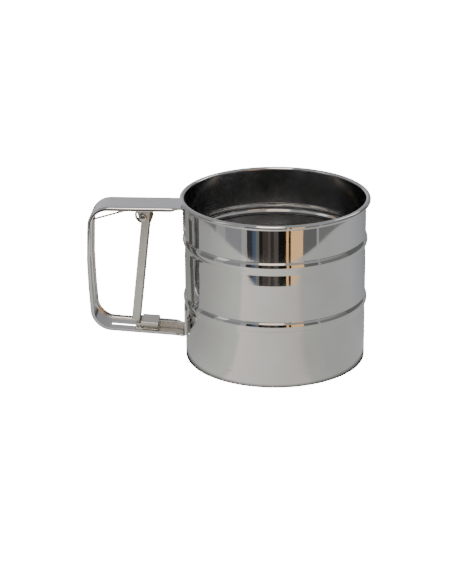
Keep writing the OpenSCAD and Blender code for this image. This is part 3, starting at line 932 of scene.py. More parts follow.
@dataclass
class StampedStar:
    """A star stamped from sheet: a hub and equal arms. Sizes in millimetres.

    Attributes:
        node: the CAD node that it stands for.
        body: the body that it rides on.
        slot: its finish.
        arms: how many arms it has.
        first: direction of the first arm, in degrees.
        bore: radius of the hole in its hub.
        hub: radius of the hub.
        reach: radius at the arms' tips.
        middle: height of the sheet's middle.
        sheet: the sheet's thickness.
        web: (place across at the root, place at the tip, drop) of each line along an arm.
        flange: (place across, drop) of the lines that are bent down beside the web.
        fade: where along the arm the web's drop begins and ends.
        notch: distance from the tip to the opening's point and to its wide end, and its half
            width there, or 0 for no opening.
        station_gap: longest step along an arm.
        hub_rings: steps from the bore to the hub's edge.
        hub_step: rough step round the hub, in degrees.
        fade_run: how far the web's drop takes to begin or end.
    """

    node: str
    body: str
    slot: str
    arms: int
    first: float
    bore: float
    hub: float
    reach: float
    middle: float
    sheet: float
    web: list[tuple[float, float, float]]
    flange: list[Point2] = field(default_factory=list)
    fade: Point2 = (0.0, 0.0)
    notch: Point3 = (0.0, 0.0, 0.0)
    station_gap: float = 1.5
    hub_rings: int = 5
    hub_step: float = 6.0
    fade_run: float = 2.0

    def stations(self) -> list[float]:
        """Distances from the axis of the lines across an arm.

        Returns:
            The distances, from the hub to the tip.
        """
        marks = {self.hub, self.reach}
        if self.notch[0]:
            marks |= {self.reach - self.notch[0], self.reach - self.notch[1]}
        points = spaced([(mark, 0.0) for mark in sorted(marks)], self.station_gap)
        return [x for x, _ in points]

    def sector(self) -> bpy.types.Mesh:
        """One arm with its share of the hub, as the sheet's middle surface.

        Returns:
            The mesh of one sector.
        """
        half = 180 / self.arms
        roots = [math.degrees(math.asin(root / self.hub)) for root, _, _ in self.web]
        steps = max(2, round((half - roots[-1]) / self.hub_step))
        outside = between(roots[-1], half, steps)[1:]
        angles = [-a for a in reversed(outside)] + roots + outside
        vertices: list[tuple[float, float, float]] = []
        for radius in between(self.bore, self.hub, self.hub_rings):
            vertices += [(radius * math.cos(math.radians(a)), radius * math.sin(math.radians(a)), 0.0)
                         for a in angles]
        faces = grid_faces(self.hub_rings + 1, len(angles))
        row = [self.hub_rings * len(angles) + len(outside) + k for k in range(len(self.web))]
        flange_rows: list[tuple[list[int], list[int]]] = []
        rise, fall = self.fade
        for x in self.stations():
            share = (x - self.hub) / (self.reach - self.hub)
            sunk = smoothstep(x, rise, rise + self.fade_run) - smoothstep(x, fall - self.fade_run, fall)
            following = []
            open_half = self._notch_half(x)
            for root, tip, drop in self.web:
                following.append(len(vertices))
                y = root + (tip - root) * share
                if open_half is not None and abs(tip) <= self.notch[2]:
                    y = tip / self.notch[2] * open_half
                vertices.append((x, y, -drop * sunk))
            faces += self._web_faces(row, following, x)
            row = following
            if self.flange:
                sides = []
                for sign, edge in ((-1, row[0]), (1, row[-1])):
                    line = [edge]
                    for across, drop in self.flange:
                        line.append(len(vertices))
                        vertices.append((x, sign * across, -drop))
                    sides.append(line)
                flange_rows.append((sides[0], sides[1]))
        for (left0, right0), (left1, right1) in zip(flange_rows, flange_rows[1:]):
            for k in range(len(self.flange)):
                faces.append([left0[k], left0[k + 1], left1[k + 1], left1[k]])
                faces.append([right0[k + 1], right0[k], right1[k], right1[k + 1]])
        faces = [list(reversed(f)) for f in faces]
        placed = [(x, y, z + self.middle) for x, y, z in vertices]
        return mesh_from(self.node + "_sector", placed, faces=faces)

    def _notch_half(self, x: float) -> float | None:
        """Half width of the opening at a distance from the axis.

        Args:
            x: the distance from the axis.

        Returns:
            The half width, or None before and past the opening.
        """
        long, short, half = self.notch
        along = x - (self.reach - long)
        if not long or not -TOUCHING <= along <= long - short + TOUCHING:
            return None
        return along / (long - short) * half

    def _web_faces(self, row: list[int], following: list[int], x: float) -> list[list[int]]:
        """Faces between two lines across an arm, with the opening left out.

        Args:
            row: corners of the line nearer the hub.
            following: corners of the next line.
            x: that line's distance from the axis.

        Returns:
            The faces.
        """
        inside = bool(self._notch_half(x))
        faces = []
        for k in range(len(row) - 1):
            widest = max(abs(self.web[k][1]), abs(self.web[k + 1][1]))
            if not (inside and widest <= self.notch[2]):
                faces.append([row[k], row[k + 1], following[k + 1], following[k]])
        return faces

    def build(self, shop: Workshop) -> None:
        """Makes the star and hands it over.

        Args:
            shop: the trees and finishes.
        """
        star = shop.star.build(self.node + "_stamped", self.sector(), shop.finishes[self.slot],
                               Count=self.arms, First_Angle=math.radians(self.first))
        SheetWork(self.sheet, edge=0.12).apply(star)
        shop.hand_over(star, self.body, self.slot, self.node)


def make_spider() -> StampedStar:
    """The flat six-armed star under the screen, with a pressed rib down each arm.

    Returns:
        The star.
    """
    web = [(-3.0, -2.5, 0.0), (-1.9, -1.7, 0.0), (-0.9, -0.9, 0.0), (-0.5, -0.5, 0.34), (0.0, 0.0, 0.5),
           (0.5, 0.5, 0.34), (0.9, 0.9, 0.0), (1.9, 1.7, 0.0), (3.0, 2.5, 0.0)]
    return StampedStar("support_spider", "cup", "pressed_steel", 6, 9.0, 2.0, 11.0, 48.3, 2.8, 0.8, web,
                       fade=(12.0, 45.0))


def make_agitator() -> StampedStar:
    """The three-armed star of channel blades that swings above the screen.

    Returns:
        The star.
    """
    web = [(y, y, 0.0) for y in (-3.1, -1.5, -0.75, 0.0, 0.75, 1.5, 3.1)]
    bend = [(3.1 + 0.7 * math.sin(math.radians(a)), 0.7 - 0.7 * math.cos(math.radians(a)))
            for a in (22.5, 45.0, 67.5, 90.0)]
    return StampedStar("agitator", "agitator", "agitator_steel", 3, -8.0, 2.06, 12.0, 46.5, 9.6, 0.8, web,
                       flange=bend + [(3.8, 2.0), (3.8, 3.2), (3.8, 4.4)], notch=(4.0, 1.2, 1.5))


# ---------------------------------------------------------------- turned parts


class Axis(Enum):
    """The axis that a turned part lies on."""

    UP = "Z"
    ACROSS = "Y"


@dataclass
class Turned:
    """A washer, bush or headed pin turned about its axis. Sizes in millimetres.

    Attributes:
        node: the CAD node that it stands for.
        body: the body that it rides on.
        bore: radius of its hole, or 0 for a pin.
        shank: a pin's shank radius.
        heads: (radius, height) of a pin's lower and upper head.
        axis: the axis that it lies on.
        edge: width of a washer's broken outer edges.
        bore_edge: width of the broken edges of its hole.
        dome: how much of a head's height its dome takes.
        dome_foot: height of the dome's foot, as a share of the head.
        dome_sweep: how far round the dome goes, in degrees.
        dome_steps: steps of the dome.
        steps: steps round the axis.
    """

    node: str
    body: str
    bore: float = 0.0
    shank: float = 0.0
    heads: tuple[Point2, ...] = ()
    axis: Axis = Axis.UP
    edge: float = 0.18
    bore_edge: float = 0.06
    dome: float = 0.7
    dome_foot: float = 0.78
    dome_sweep: float = 80.0
    dome_steps: int = 8
    steps: int = 56

    def washer_section(self, radius: float, length: float) -> list[Point2]:
        """Closed outline of a ring with broken edges.

        Args:
            radius: the ring's outer radius.
            length: its length.

        Returns:
            (radius, height) points, with its middle at height 0.
        """
        half = length / 2
        corners = [(self.bore, -half), (radius, -half), (radius, half), (self.bore, half)]
        broken = min(self.edge, length / 3)
        return filleted(corners, [self.bore_edge, broken, broken, self.bore_edge], 30, closed=True)

    def pin_section(self, length: float) -> list[Point2]:
        """Half outline of a pin with a domed head at each end, from the bottom up.

        Args:
            length: the pin's whole length.

        Returns:
            (radius, height) points, with its middle at height 0.
        """
        half = length / 2
        (low_r, low_h), (high_r, high_h) = self.heads
        turns = [math.radians(v) for v in between(0, self.dome_sweep, self.dome_steps)]
        section = [(low_r * math.sin(a), -half + low_h * self.dome * (1 - math.cos(a))) for a in turns]
        section += [(low_r, -half + low_h * self.dome_foot), (low_r, -half + low_h),
                    (self.shank, -half + low_h), (self.shank, half - high_h), (high_r, half - high_h),
                    (high_r, half - high_h * self.dome_foot)]
        section += [(high_r * math.sin(a), half - high_h * self.dome * (1 - math.cos(a)))
                    for a in reversed(turns)]
        return section

    def build(self, shop: Workshop) -> None:
        """Makes the part in the middle of its CAD node's box and hands it over.

        Args:
            shop: the trees and finishes.
        """
        low, high = (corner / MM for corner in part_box(self.node))
        size, middle = high - low, (high + low) / 2
        if self.axis is Axis.UP:
            length, radius = size.z, size.x / 2
        else:
            length, radius = size.y, size.x / 2
        section = self.pin_section(length) if self.heads else self.washer_section(radius, length)
        part = shop.turned(self.node + "_turned", section, "rivet_steel", self.steps,
                           closed=not self.heads)
        if self.axis is Axis.ACROSS:
            part.data.transform(Matrix.Rotation(math.pi / 2, 4, "X"))
        part.data.transform(Matrix.Translation(middle * MM))
        SheetWork(edge=0).apply(part)
        shop.hand_over(part, self.body, "rivet_steel", self.node)


TURNED_PARTS = (
    Turned("axle_rivet", "cup", shank=2.0, heads=((4.0, 1.2), (2.9, 0.9))),
    Turned("lower_washer", "cup", bore=2.0),
    Turned("upper_washer", "cup", bore=2.0),
    Turned("spacer_bush", "cup", bore=2.0),
    Turned("cap_washer", "cup", bore=2.0),
    Turned("crank_pin", "agitator", shank=1.5, heads=((2.4, 0.9), (2.4, 0.9))),
    Turned("crank_collar", "agitator", bore=1.5),
    Turned("crank_washer", "agitator", bore=1.5),
    Turned("pivot_pin", "cup", shank=1.2, heads=((2.1, 0.8), (2.1, 0.8)), axis=Axis.ACROSS),
)


# ---------------------------------------------------------------- folded parts


@dataclass
class Folded:
    """A pressed part that keeps its CAD shape and gets bent folds and broken edges.

    Attributes:
        node: the CAD node that it stands for.
        body: the body that it rides on.
        slot: its finish.
        fold: radius of its outer bends, in millimetres.
        is_fold: whether an edge with these two ends and this direction is an outer bend.
        edge: width of its broken edges, in millimetres.
        crease: least angle of an edge that gets bent or broken, in degrees.
        flat: largest angle between faces that are taken as one, in degrees.
        fold_steps: steps of an outer bend.
        edge_steps: steps of a broken edge.
    """

    node: str
    body: str
    slot: str
    fold: float
    is_fold: Callable[[Vector, Vector], bool]
    edge: float = 0.12
    crease: float = 50.0
    flat: float = 1.0
    fold_steps: int = 5
    edge_steps: int = 2

    def build(self, shop: Workshop) -> None:
        """Makes the part and hands it over.

        Args:
            shop: the trees and finishes.
        """
        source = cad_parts[self.node]
        bm = bmesh.new()
        bm.from_mesh(source.data)
        bmesh.ops.remove_doubles(bm, verts=bm.verts, dist=SEAM_GAP)
        bmesh.ops.dissolve_limit(bm, angle_limit=math.radians(self.flat), verts=bm.verts, edges=bm.edges)
        folds = [e for e in self._creases(bm)
                 if e.is_convex and self.is_fold(e.verts[0].co / MM, e.verts[1].co / MM)]
        if folds:
            self._round(bm, folds, self.fold, self.fold_steps)
        self._round(bm, self._creases(bm), self.edge, self.edge_steps)
        bmesh.ops.triangulate(bm, faces=[f for f in bm.faces if len(f.verts) > 4])
        mesh = bpy.data.meshes.new(self.node + "_folded")
        bm.to_mesh(mesh)
        bm.free()
        part = object_from(self.node + "_folded", mesh)
        SheetWork(edge=0).apply(part)
        shop.hand_over(part, self.body, self.slot, self.node)

    def _creases(self, bm: bmesh.types.BMesh) -> list[bmesh.types.BMEdge]:
        """The edges where two faces meet at a sharp angle."""
        least = math.radians(self.crease)
        return [e for e in bm.edges if e.is_manifold and e.calc_face_angle() > least]

    def _round(self, bm: bmesh.types.BMesh, edges: list[bmesh.types.BMEdge], width: float,
               steps: int) -> None:
        """Rounds edges off.

        Args:
            bm: the mesh.
            edges: its edges to round.
            width: the rounding's width, in millimetres.
            steps: number of steps.
        """
        bmesh.ops.bevel(bm, geom=edges, offset=width * MM, offset_type="OFFSET", segments=steps,
                        profile=0.5, affect="EDGES", clamp_overlap=True)


SAME_PLANE = 0.1


def long_edge(least: float, outside: float) -> Callable[[Vector, Vector], bool]:
    """Picks long edges that lie well out to one side.

    Args:
        least: shortest edge that counts, in millimetres.
        outside: least distance of both ends from the middle plane, in millimetres.

    Returns:
        The test for Folded.is_fold.
    """
    return lambda a, b: ((a - b).length > least and min(abs(a.y), abs(b.y)) > outside
                         and abs(a.y - b.y) < SAME_PLANE)


def no_fold(_a: Vector, _b: Vector) -> bool:
    """For parts without an outer bend."""
    return False


FOLDED_PARTS = (
    Folded("trigger", "trigger", "pressed_steel", 0.75, long_edge(20, 5.9)),
    Folded("pivot_bracket", "cup", "pressed_steel", 0.5, long_edge(7, 4.5)),
    Folded("strip_saddle", "drive", "pressed_steel", 0.45, long_edge(7, 6.3)),
    Folded("drive_strip", "drive", "pressed_steel", 0.2, no_fold, edge=0.16),
)


# ---------------------------------------------------------------- handle


@dataclass
class Handle:
    """One channel-section strip bent to a rounded D, with both end tabs on the cup. Millimetres."""

    cup_radius: float = 50.0
    sheet: float = 0.8
    width: float = 20.0
    flange: float = 2.0
    bend: float = 0.8
    top: float = 87.5
    reach: float = 53.75
    bow: float = 1.9
    crown: float = 0.3
    leg: float = 12.2
    slope: float = 3.6
    corner_top: float = 11.0
    corner_low: float = 12.0
    bow_radius: float = 260.0
    tab_bend: float = 1.3
    tab_top_end: float = 73.8
    tab_low_end: float = 29.4
    slot_half: float = 1.5
    slot_length: float = 41.6
    slot_high: float = 17.45
    weld_radius: float = 1.9
    weld_depth: float = 0.14
    weld_across: float = 5.2
    weld_heights: Point2 = (79.5, 24.0)
    crown_rise: float = 6.0
    corner_step: float = 5.0
    path_gap: float = 1.1
    flange_line: float = 1.2
    flat_steps: int = 10
    lift_run: float = 5.0
    wrap: Point2 = (1.0, 6.0)
    tab_slack: float = 0.02
    tab_corner: float = 1.6
    tab_spread: float = 0.2
    upper_from: float = 50.0
    slot_over: float = 0.3
    slot_columns: int = 2

    def path(self) -> list[Point2]:
        """Middle line of the strip in X and Z, from the upper tab's end to the lower tab's.

        Returns:
            The points, in millimetres.
        """
        lift = math.tan(math.radians(self.slope))
        grip = -(self.cup_radius + self.reach)
        leg_end = self.leg + (self.reach - self.bow) * lift
        middle = (self.top + self.leg) / 2 + self.crown_rise
        outer = [Vector((-self.cup_radius, self.top)), Vector((grip + self.bow, self.top)),
                 Vector((grip - self.crown, middle)), Vector((grip + self.bow, leg_end)),
                 Vector((-self.cup_radius, self.leg))]
        inner = self._moved(outer, self.sheet / 2)
        tab = -(self.cup_radius + self.sheet / 2)
        corners = [(tab, self.tab_top_end), (tab, inner[0].y), *[(p.x, p.y) for p in inner[1:-1]],
                   (tab, inner[-1].y + self.sheet / 2 * lift), (tab, self.tab_low_end)]
        radii = [0, self.tab_bend, self.corner_top, self.bow_radius, self.corner_low, self.tab_bend, 0]
        return spaced(filleted(corners, radii, self.corner_step), self.path_gap)

    def _moved(self, path: Sequence[Vector], distance: float) -> list[Vector]:
        """The path moved to its left by a distance.

        Args:
            path: its corners.
            distance: how far it moves.

        Returns:
            The moved corners.
        """
        normals = []
        for a, b in zip(path, path[1:]):
            along = (b - a).normalized()
            normals.append(Vector((-along.y, along.x)))
        moved = [path[0] + normals[0] * distance]
        for point, n0, n1 in zip(path[1:-1], normals, normals[1:]):
            moved.append(point + (n0 + n1) * distance / (1 + n0.dot(n1)))
        moved.append(path[-1] + normals[-1] * distance)
        return moved

    def columns(self) -> list[Point2]:
        """(place across, height of the flange there) over half of the section, middle first.

        Returns:
            The points, in millimetres.
        """
        edge = self.width / 2 - self.sheet / 2
        flat = [0.0, self.slot_half / 2]
        flat += between(self.slot_half, edge - self.bend, self.flat_steps)
        section = [(y, 0.0) for y in flat]
        section += [(edge - self.bend + self.bend * math.sin(math.radians(a)),
                     self.bend - self.bend * math.cos(math.radians(a))) for a in (22.5, 45, 67.5, 90)]
        section += [(edge, self.flange_line), (edge, self.flange - self.sheet / 2)]
        return section

    def build(self, shop: Workshop) -> None:
        """Makes the strip and hands it over.

        Args:
            shop: the trees and finishes.
        """
        path = self.path()
        half = self.columns()
        columns = [(-y, h) for y, h in reversed(half[1:])] + half
        vertices = [corner for i in range(len(path)) for corner in self._row(path, i, columns)]
        middle = len(half) - 1
        faces = []
        for i, face in enumerate(grid_faces(len(path), len(columns))):
            row, column = divmod(i, len(columns) - 1)
            in_middle = middle - self.slot_columns <= column < middle + self.slot_columns
            if not (in_middle and self._in_slot(path[row], path[row + 1])):
                faces.append(face)
        strip = object_from("handle_strip_bent", mesh_from("handle_strip_bent", vertices, faces=faces))
        SheetWork(self.sheet, edge=0.14).apply(strip)
        shop.hand_over(strip, "cup", "handle_steel", "handle_strip")

    def _row(self, path: Sequence[Point2], i: int, columns: Sequence[Point2]) -> list[Point3]:
        """The strip's corners across one point of its path.

        Args:
            path: the strip's middle line.
            i: which of its points.
            columns: (place across, height of the flange there) over the whole section.

        Returns:
            One corner for each column.
        """
        x, z = path[i]
        before, after = Vector(path[max(i - 1, 0)]), Vector(path[min(i + 1, len(path) - 1)])
        along = (after - before).normalized()
        inward = Vector((-along.y, along.x))
        wall = self.cup_radius + self.sheet / 2
        off_wall = -x - self.cup_radius - self.sheet / 2
        raised = smoothstep(off_wall, self.tab_bend, self.tab_bend + self.lift_run)
        curved = 1 - smoothstep(off_wall, *self.wrap)
        in_tab = off_wall < self.tab_slack
        end = z - self.tab_top_end if z > self.upper_from else self.tab_low_end - z
        cut = self._corner_cut(end) if in_tab else 0.0
        corners = []
        for y, height in columns:
            across = y * (1 - cut / (self.width / 2))
            sag = wall - math.sqrt(wall ** 2 - across ** 2)
            spread = (1 - raised) * height * self.tab_spread * (1 if y > 0 else -1)
            dent = self._weld_dent(across, z) if in_tab else 0.0
            corners.append((x + inward.x * height * raised + sag * curved + dent, across + spread,
                            z + inward.y * height * raised))
        return corners

    def _corner_cut(self, end: float) -> float:
        """How much a tab's rounded corner takes off its side.

        Args:
            end: distance from the tab's end.

        Returns:
            The cut, 0 past the corner.
        """
        r = self.tab_corner
        if end >= r:
            return 0.0
        return r - math.sqrt(max(0.0, r ** 2 - (r - max(end, 0)) ** 2))

    def _in_slot(self, here: Point2, there: Point2) -> bool:
        """Whether a step of the path lies in the slot for the drive strip.

        Args:
            here: the step's first point.
            there: its last point.

        Returns:
            True in the slot.
        """
        low_enough = max(here[1], there[1]) < self.slot_high + self.slot_over
        return low_enough and min(-here[0], -there[0]) - self.cup_radius < self.slot_length

    def _weld_dent(self, y: float, z: float) -> float:
        """How far the tab is pressed towards the wall at a point, by its spot welds.

        Args:
            y: place across the tab.
            z: height.

        Returns:
            The dent's depth.
        """
        spots = [(side * self.weld_across, height) for side in (-1, 1) for height in self.weld_heights]
        near = min(math.hypot(y - sy, z - sz) for sy, sz in spots)
        return self.weld_depth * (1 - smoothstep(near, self.weld_radius / 2, self.weld_radius))


# ---------------------------------------------------------------- spring and welds


@dataclass
class ReturnSpring:
    """The torsion spring on the pivot pin: a long arm to the grip, a coil and a short arm."""

    pivot: Point2 = (-72.2, 80.4)
    grip: float = -103.75
    coil_radius: float = 4.55
    wire: float = 1.1
    turns: int = 3
    pitch: float = 1.15
    arm_slope: float = 16.6
    grip_gap: float = 3.1
    web_depth: float = 3.55
    web_top: float = 6.2
    tilt: float = 6.5
    short_arm: float = 9.0
    steps_per_turn: int = 40
    trigger_sheet: float = 0.8
    gap: float = 0.05
    knee_drop: float = 0.6
    long_steps: int = 12
    short_steps: int = 6

    def tilted(self, x: float, z: float) -> Vector:
        """A point of the trigger's own frame, seen from the pivot."""
        c, s = math.cos(math.radians(self.tilt)), math.sin(math.radians(self.tilt))
        return Vector((x * c + z * s, z * c - x * s))

    def route(self) -> list[Point3]:
        """The wire's middle line.

        Returns:
            The points, in millimetres.
        """
        half = self.turns * self.pitch / 2
        r = self.coil_radius
        first = 90 + self.arm_slope
        start = Vector((r * math.cos(math.radians(first)), r * math.sin(math.radians(first))))
        slope = Vector((math.cos(math.radians(self.arm_slope)), math.sin(math.radians(self.arm_slope))))
        run = (self.pivot[0] + start.x - self.grip - self.grip_gap) / slope.x
        web = self.web_depth - self.trigger_sheet - self.wire / 2 - self.gap
        knee = self.tilted(web, -self.web_top - self.knee_drop)
        foot = self.tilted(web, -self.web_top - self.knee_drop - self.short_arm)
        last = math.degrees(math.atan2(knee.y, knee.x) + math.acos(r / knee.length))
        total = first - last + 360 * (self.turns - 1)
        count = math.ceil(total / 360 * self.steps_per_turn)
        points = [(start.x - slope.x * run * k / self.long_steps, half,
                   start.y - slope.y * run * k / self.long_steps) for k in range(self.long_steps, 0, -1)]
        for k in range(count + 1):
            angle = math.radians(first - total * k / count)
            points.append((r * math.cos(angle), half - 2 * half * k / count, r * math.sin(angle)))
        for k in range(1, self.short_steps + 1):
            spot = knee.lerp(foot, k / self.short_steps)
            points.append((spot.x, -half, spot.y))
        return [(x + self.pivot[0], y, z + self.pivot[1]) for x, y, z in points]

    def build(self, shop: Workshop) -> None:
        """Makes the spring, which winds up between the cup and the trigger.

        Args:
            shop: the trees and finishes.
        """
        chain = line_mesh("spring_route", self.route())
        spring = shop.wire.build("return_spring_wound", chain, shop.finishes["spring_wire"],
                                 Wire_Radius=self.wire / 2 * MM, Sides=14)
        SheetWork(edge=0).apply(spring)
        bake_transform(spring)
        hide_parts("return_spring")
        log.info("%s bends between cup and trigger", spring.name)


@dataclass
class SpotWelds:
    """Low round weld marks inside the cup and at the tips of the spider. Sizes in millimetres."""

    radius: float = 1.5
    rise: float = 0.07
    wall_radius: float = 49.5
    across: float = 5.2
    heights: Point2 = (24.0, 79.5)
    spider_radius: float = 47.0
    spider_low: float = 2.4
    spider_first: float = 9.0
    spider_arms: int = 6

    def build(self, shop: Workshop) -> None:
        """Makes the marks and hands them over.

        Args:
            shop: the trees and finishes.
        """
        spots: list[tuple[Vector, Vector]] = []
        for side in (-1, 1):
            angle = math.pi - side * math.asin(self.across / self.wall_radius)
            outward = Vector((math.cos(angle), math.sin(angle), 0))
            spots += [(outward * self.wall_radius + Vector((0, 0, height)), -outward)
                      for height in self.heights]
        for k in range(self.spider_arms):
            angle = math.radians(self.spider_first + 360 / self.spider_arms * k)
            x, y = self.spider_radius * math.cos(angle), self.spider_radius * math.sin(angle)
            spots.append((Vector((x, y, self.spider_low)), Vector((0, 0, -1))))
        seed = mesh_from("weld_seed", [tuple(place) for place, _ in spots])
        facing = seed.attributes.new("facing", "FLOAT_VECTOR", "POINT")
        for item, (_, direction) in zip(facing.data, spots):
            item.vector = direction
        marks = shop.welds.build("spot_welds", seed, shop.finishes["polished_steel"],
                                 Mark_Radius=self.radius * MM, Rise=self.rise * MM)
        shop.hand_over(marks, "cup", "polished_steel")


# ---------------------------------------------------------------- studio


@dataclass(frozen=True)
class Panel:
    """A stretch of the room that the polished wall mirrors, from one bearing to the next.

    Attributes:
        bearing: where it begins, in degrees from the viewer's side, to the right.
        colour: its light.
    """

    bearing: float
    colour: Colour


@dataclass
class Studio:
    """Floor, camera, lights and the surroundings that the steel mirrors. Sizes in metres."""

    target: Vector = field(default_factory=lambda: Vector((0.0, 0.0, 0.04655)))
    distance: float = 1.0839
    azimuth: float = 3.0
    elevation: float = 20.84
    lens: float = 120.43
    shift: Point2 = (-0.0841, -0.0300)
    white: float = 20.0
    table_size: Point2 = (0.29, 0.24)
    table_back: float = 1.6
    shade_radius: float = 0.0505
    shade_width: Point2 = (0.001, 0.0055)
    shade_depth: float = 0.03
    table_steps: int = 60
    table_drop: float = 0.0006
    floor_drop: float = 0.0003
    floor_reach: float = 4.0
    floor_share: float = 0.8
    panel_tops: Point2 = (0.30, 0.42)
    sensor: float = 36.0
    clip: Point2 = (0.05, 30.0)
    panels: tuple[Panel, ...] = (
        Panel(-180, (0.62, 0.62, 0.66)),
        Panel(-140, (0.34, 0.34, 0.36)),
        Panel(-100, (0.22, 0.22, 0.22)),
        Panel(-76, (0.44, 0.44, 0.44)),
        Panel(-62, (0.32, 0.32, 0.345)),
        Panel(-40, (0.46, 0.46, 0.47)),
        Panel(-33.5, (0.05, 0.05, 0.052)),
        Panel(-26, (0.09, 0.12, 0.20)),
        Panel(-22, (0.19, 0.19, 0.19)),
        Panel(-17, (0.02, 0.02, 0.02)),
        Panel(-13, (0.075, 0.058, 0.05)),
        Panel(-7, (0.12, 0.105, 0.10)),
        Panel(-3, (0.055, 0.042, 0.036)),
        Panel(1, (0.11, 0.10, 0.092)),
        Panel(7, (0.012, 0.011, 0.009)),
        Panel(15.5, (1.20, 0.68, 0.28)),
        Panel(18.8, (0.02, 0.018, 0.014)),
        Panel(22.2, (1.20, 0.72, 0.33)),
        Panel(37, (0.165, 0.166, 0.164)),
        Panel(56, (0.45, 0.45, 0.45)),
        Panel(59, (0.22, 0.22, 0.22)),
        Panel(100, (0.16, 0.16, 0.16)),
        Panel(140, (0.34, 0.34, 0.36)),
    )
    sky_tones: tuple[tuple[float, Colour], ...] = (
        (0.5, (0.30, 0.30, 0.31)), (0.78, (0.42, 0.42, 0.42)), (1.0, (0.36, 0.36, 0.37)))
    table_tones: tuple[tuple[float, Colour], ...] = (
        (0.0, (0.04, 0.04, 0.04)), (0.05, (0.13, 0.13, 0.13)), (0.10, (0.28, 0.28, 0.28)),
        (0.21, (0.42, 0.42, 0.40)), (0.27, (0.49, 0.49, 0.47)), (0.32, (0.60, 0.60, 0.57)),
        (0.375, (0.70, 0.71, 0.66)), (0.398, (0.72, 0.72, 0.68)), (0.41, (0.97, 0.90, 0.84)),
        (0.45, (0.92, 0.88, 0.82)), (0.52, (0.82, 0.79, 0.74)), (0.573, (0.74, 0.70, 0.64)),
        (0.59, (0.58, 0.58, 0.54)), (0.65, (0.53, 0.53, 0.51)), (0.78, (0.54, 0.54, 0.55)),
        (0.86, (0.40, 0.41, 0.43)), (0.95, (0.25, 0.25, 0.26)), (1.0, (0.04, 0.04, 0.04)),
    )

    def camera(self) -> None:
        """Sets the camera at the viewing angle."""
        data = bpy.data.cameras.new("camera")
        data.lens = self.lens
        data.sensor_width = self.sensor
        data.shift_x, data.shift_y = self.shift
        data.clip_start, data.clip_end = self.clip
        camera = bpy.data.objects.new("camera", data)
        bpy.context.scene.collection.objects.link(camera)
        a, e = math.radians(self.azimuth), math.radians(self.elevation)
        back = Vector((math.sin(a) * math.cos(e), -math.cos(a) * math.cos(e), math.sin(e)))
        camera.location = self.target + back * self.distance
        camera.rotation_euler = (-back).to_track_quat("-Z", "Y").to_euler()
        bpy.context.scene.camera = camera

    def world(self) -> None:
        """Pale surroundings for the eye, and a room of soft panels for the steel to mirror."""
        world = bpy.data.worlds.new("studio")
        world.use_nodes = True
        bpy.context.scene.world = world
        graph = Graph(world.node_tree)
        world.node_tree.nodes.clear()
        way = graph.node("ShaderNodeTexCoord").outputs["Generated"]
        x, y, z = graph.node("ShaderNodeSeparateXYZ", {0: way}).outputs
        ramp = graph.node("ShaderNodeValToRGB", {0: self._bearing(graph, x, y)})
        ramp.color_ramp.interpolation = "CONSTANT"
        around = [(panel.bearing / 360 + 0.5, panel.colour) for panel in self.panels]
        self._fill_ramp(ramp.color_ramp, [*around, (1.0, self.panels[-1].colour)])
        low, high = self.panel_tops
        height = graph.node("ShaderNodeMapRange", {0: z, 1: low, 2: high, 3: 0.0, 4: 1.0})
        sky = graph.node("ShaderNodeValToRGB", {0: graph.math("MULTIPLY", graph.math("ADD", z, 1.0), 0.5)})
        self._fill_ramp(sky.color_ramp, self.sky_tones)
        room = graph.node("ShaderNodeMix", {0: height.outputs[0], 6: ramp.outputs[0], 7: sky.outputs[0]},
                          data_type="RGBA")
        mirrored = graph.node("ShaderNodeBackground", {0: room.outputs[2], 1: 1.0})
        seen = graph.node("ShaderNodeBackground", {0: (1.0, 1.0, 1.0, 1.0), 1: self.white})
        eye = graph.node("ShaderNodeLightPath").outputs["Is Camera Ray"]
        mixed = graph.node("ShaderNodeMixShader", {0: eye, 1: mirrored.outputs[0], 2: seen.outputs[0]})
        graph.node("ShaderNodeOutputWorld", {0: mixed.outputs[0]})

    def _bearing(self, graph: Graph, x: bpy.types.NodeSocket,
                 y: bpy.types.NodeSocket) -> bpy.types.NodeSocket:
        """The bearing of a place or direction, as a share of a turn that starts at +Y."""
        turn = graph.math("ARCTAN2", x, graph.math("MULTIPLY", y, -1.0))
        return graph.math("ADD", graph.math("DIVIDE", turn, math.tau), 0.5)

    def _fill_ramp(self, ramp: bpy.types.ColorRamp, tones: Sequence[tuple[float, Colour]]) -> None:
        """Writes tones into a colour ramp.

        Args:
            ramp: a new ramp with its two first stops.
            tones: (place along the ramp, colour) in order.
        """
        stops = ramp.elements
        for stop, (position, colour) in zip((stops[0], stops[1]), (tones[0], tones[-1])):
            stop.position, stop.color = position, (*colour, 1)
        for position, colour in tones[1:-1]:
            stops.new(position).color = (*colour, 1)

    def plane(self, name: str, corners: Iterable[Sequence[float]]) -> bpy.types.Object:
        """A flat stage piece inside an outline, in metres.

        Args:
            name: the piece's name.
            corners: its outline.

        Returns:
            The piece.
        """
        outline = [tuple(c) for c in corners]
        mesh = bpy.data.meshes.new(name)
        mesh.from_pydata(outline, [], [tuple(range(len(outline)))])
        plane = object_from(name, mesh)
        return plane

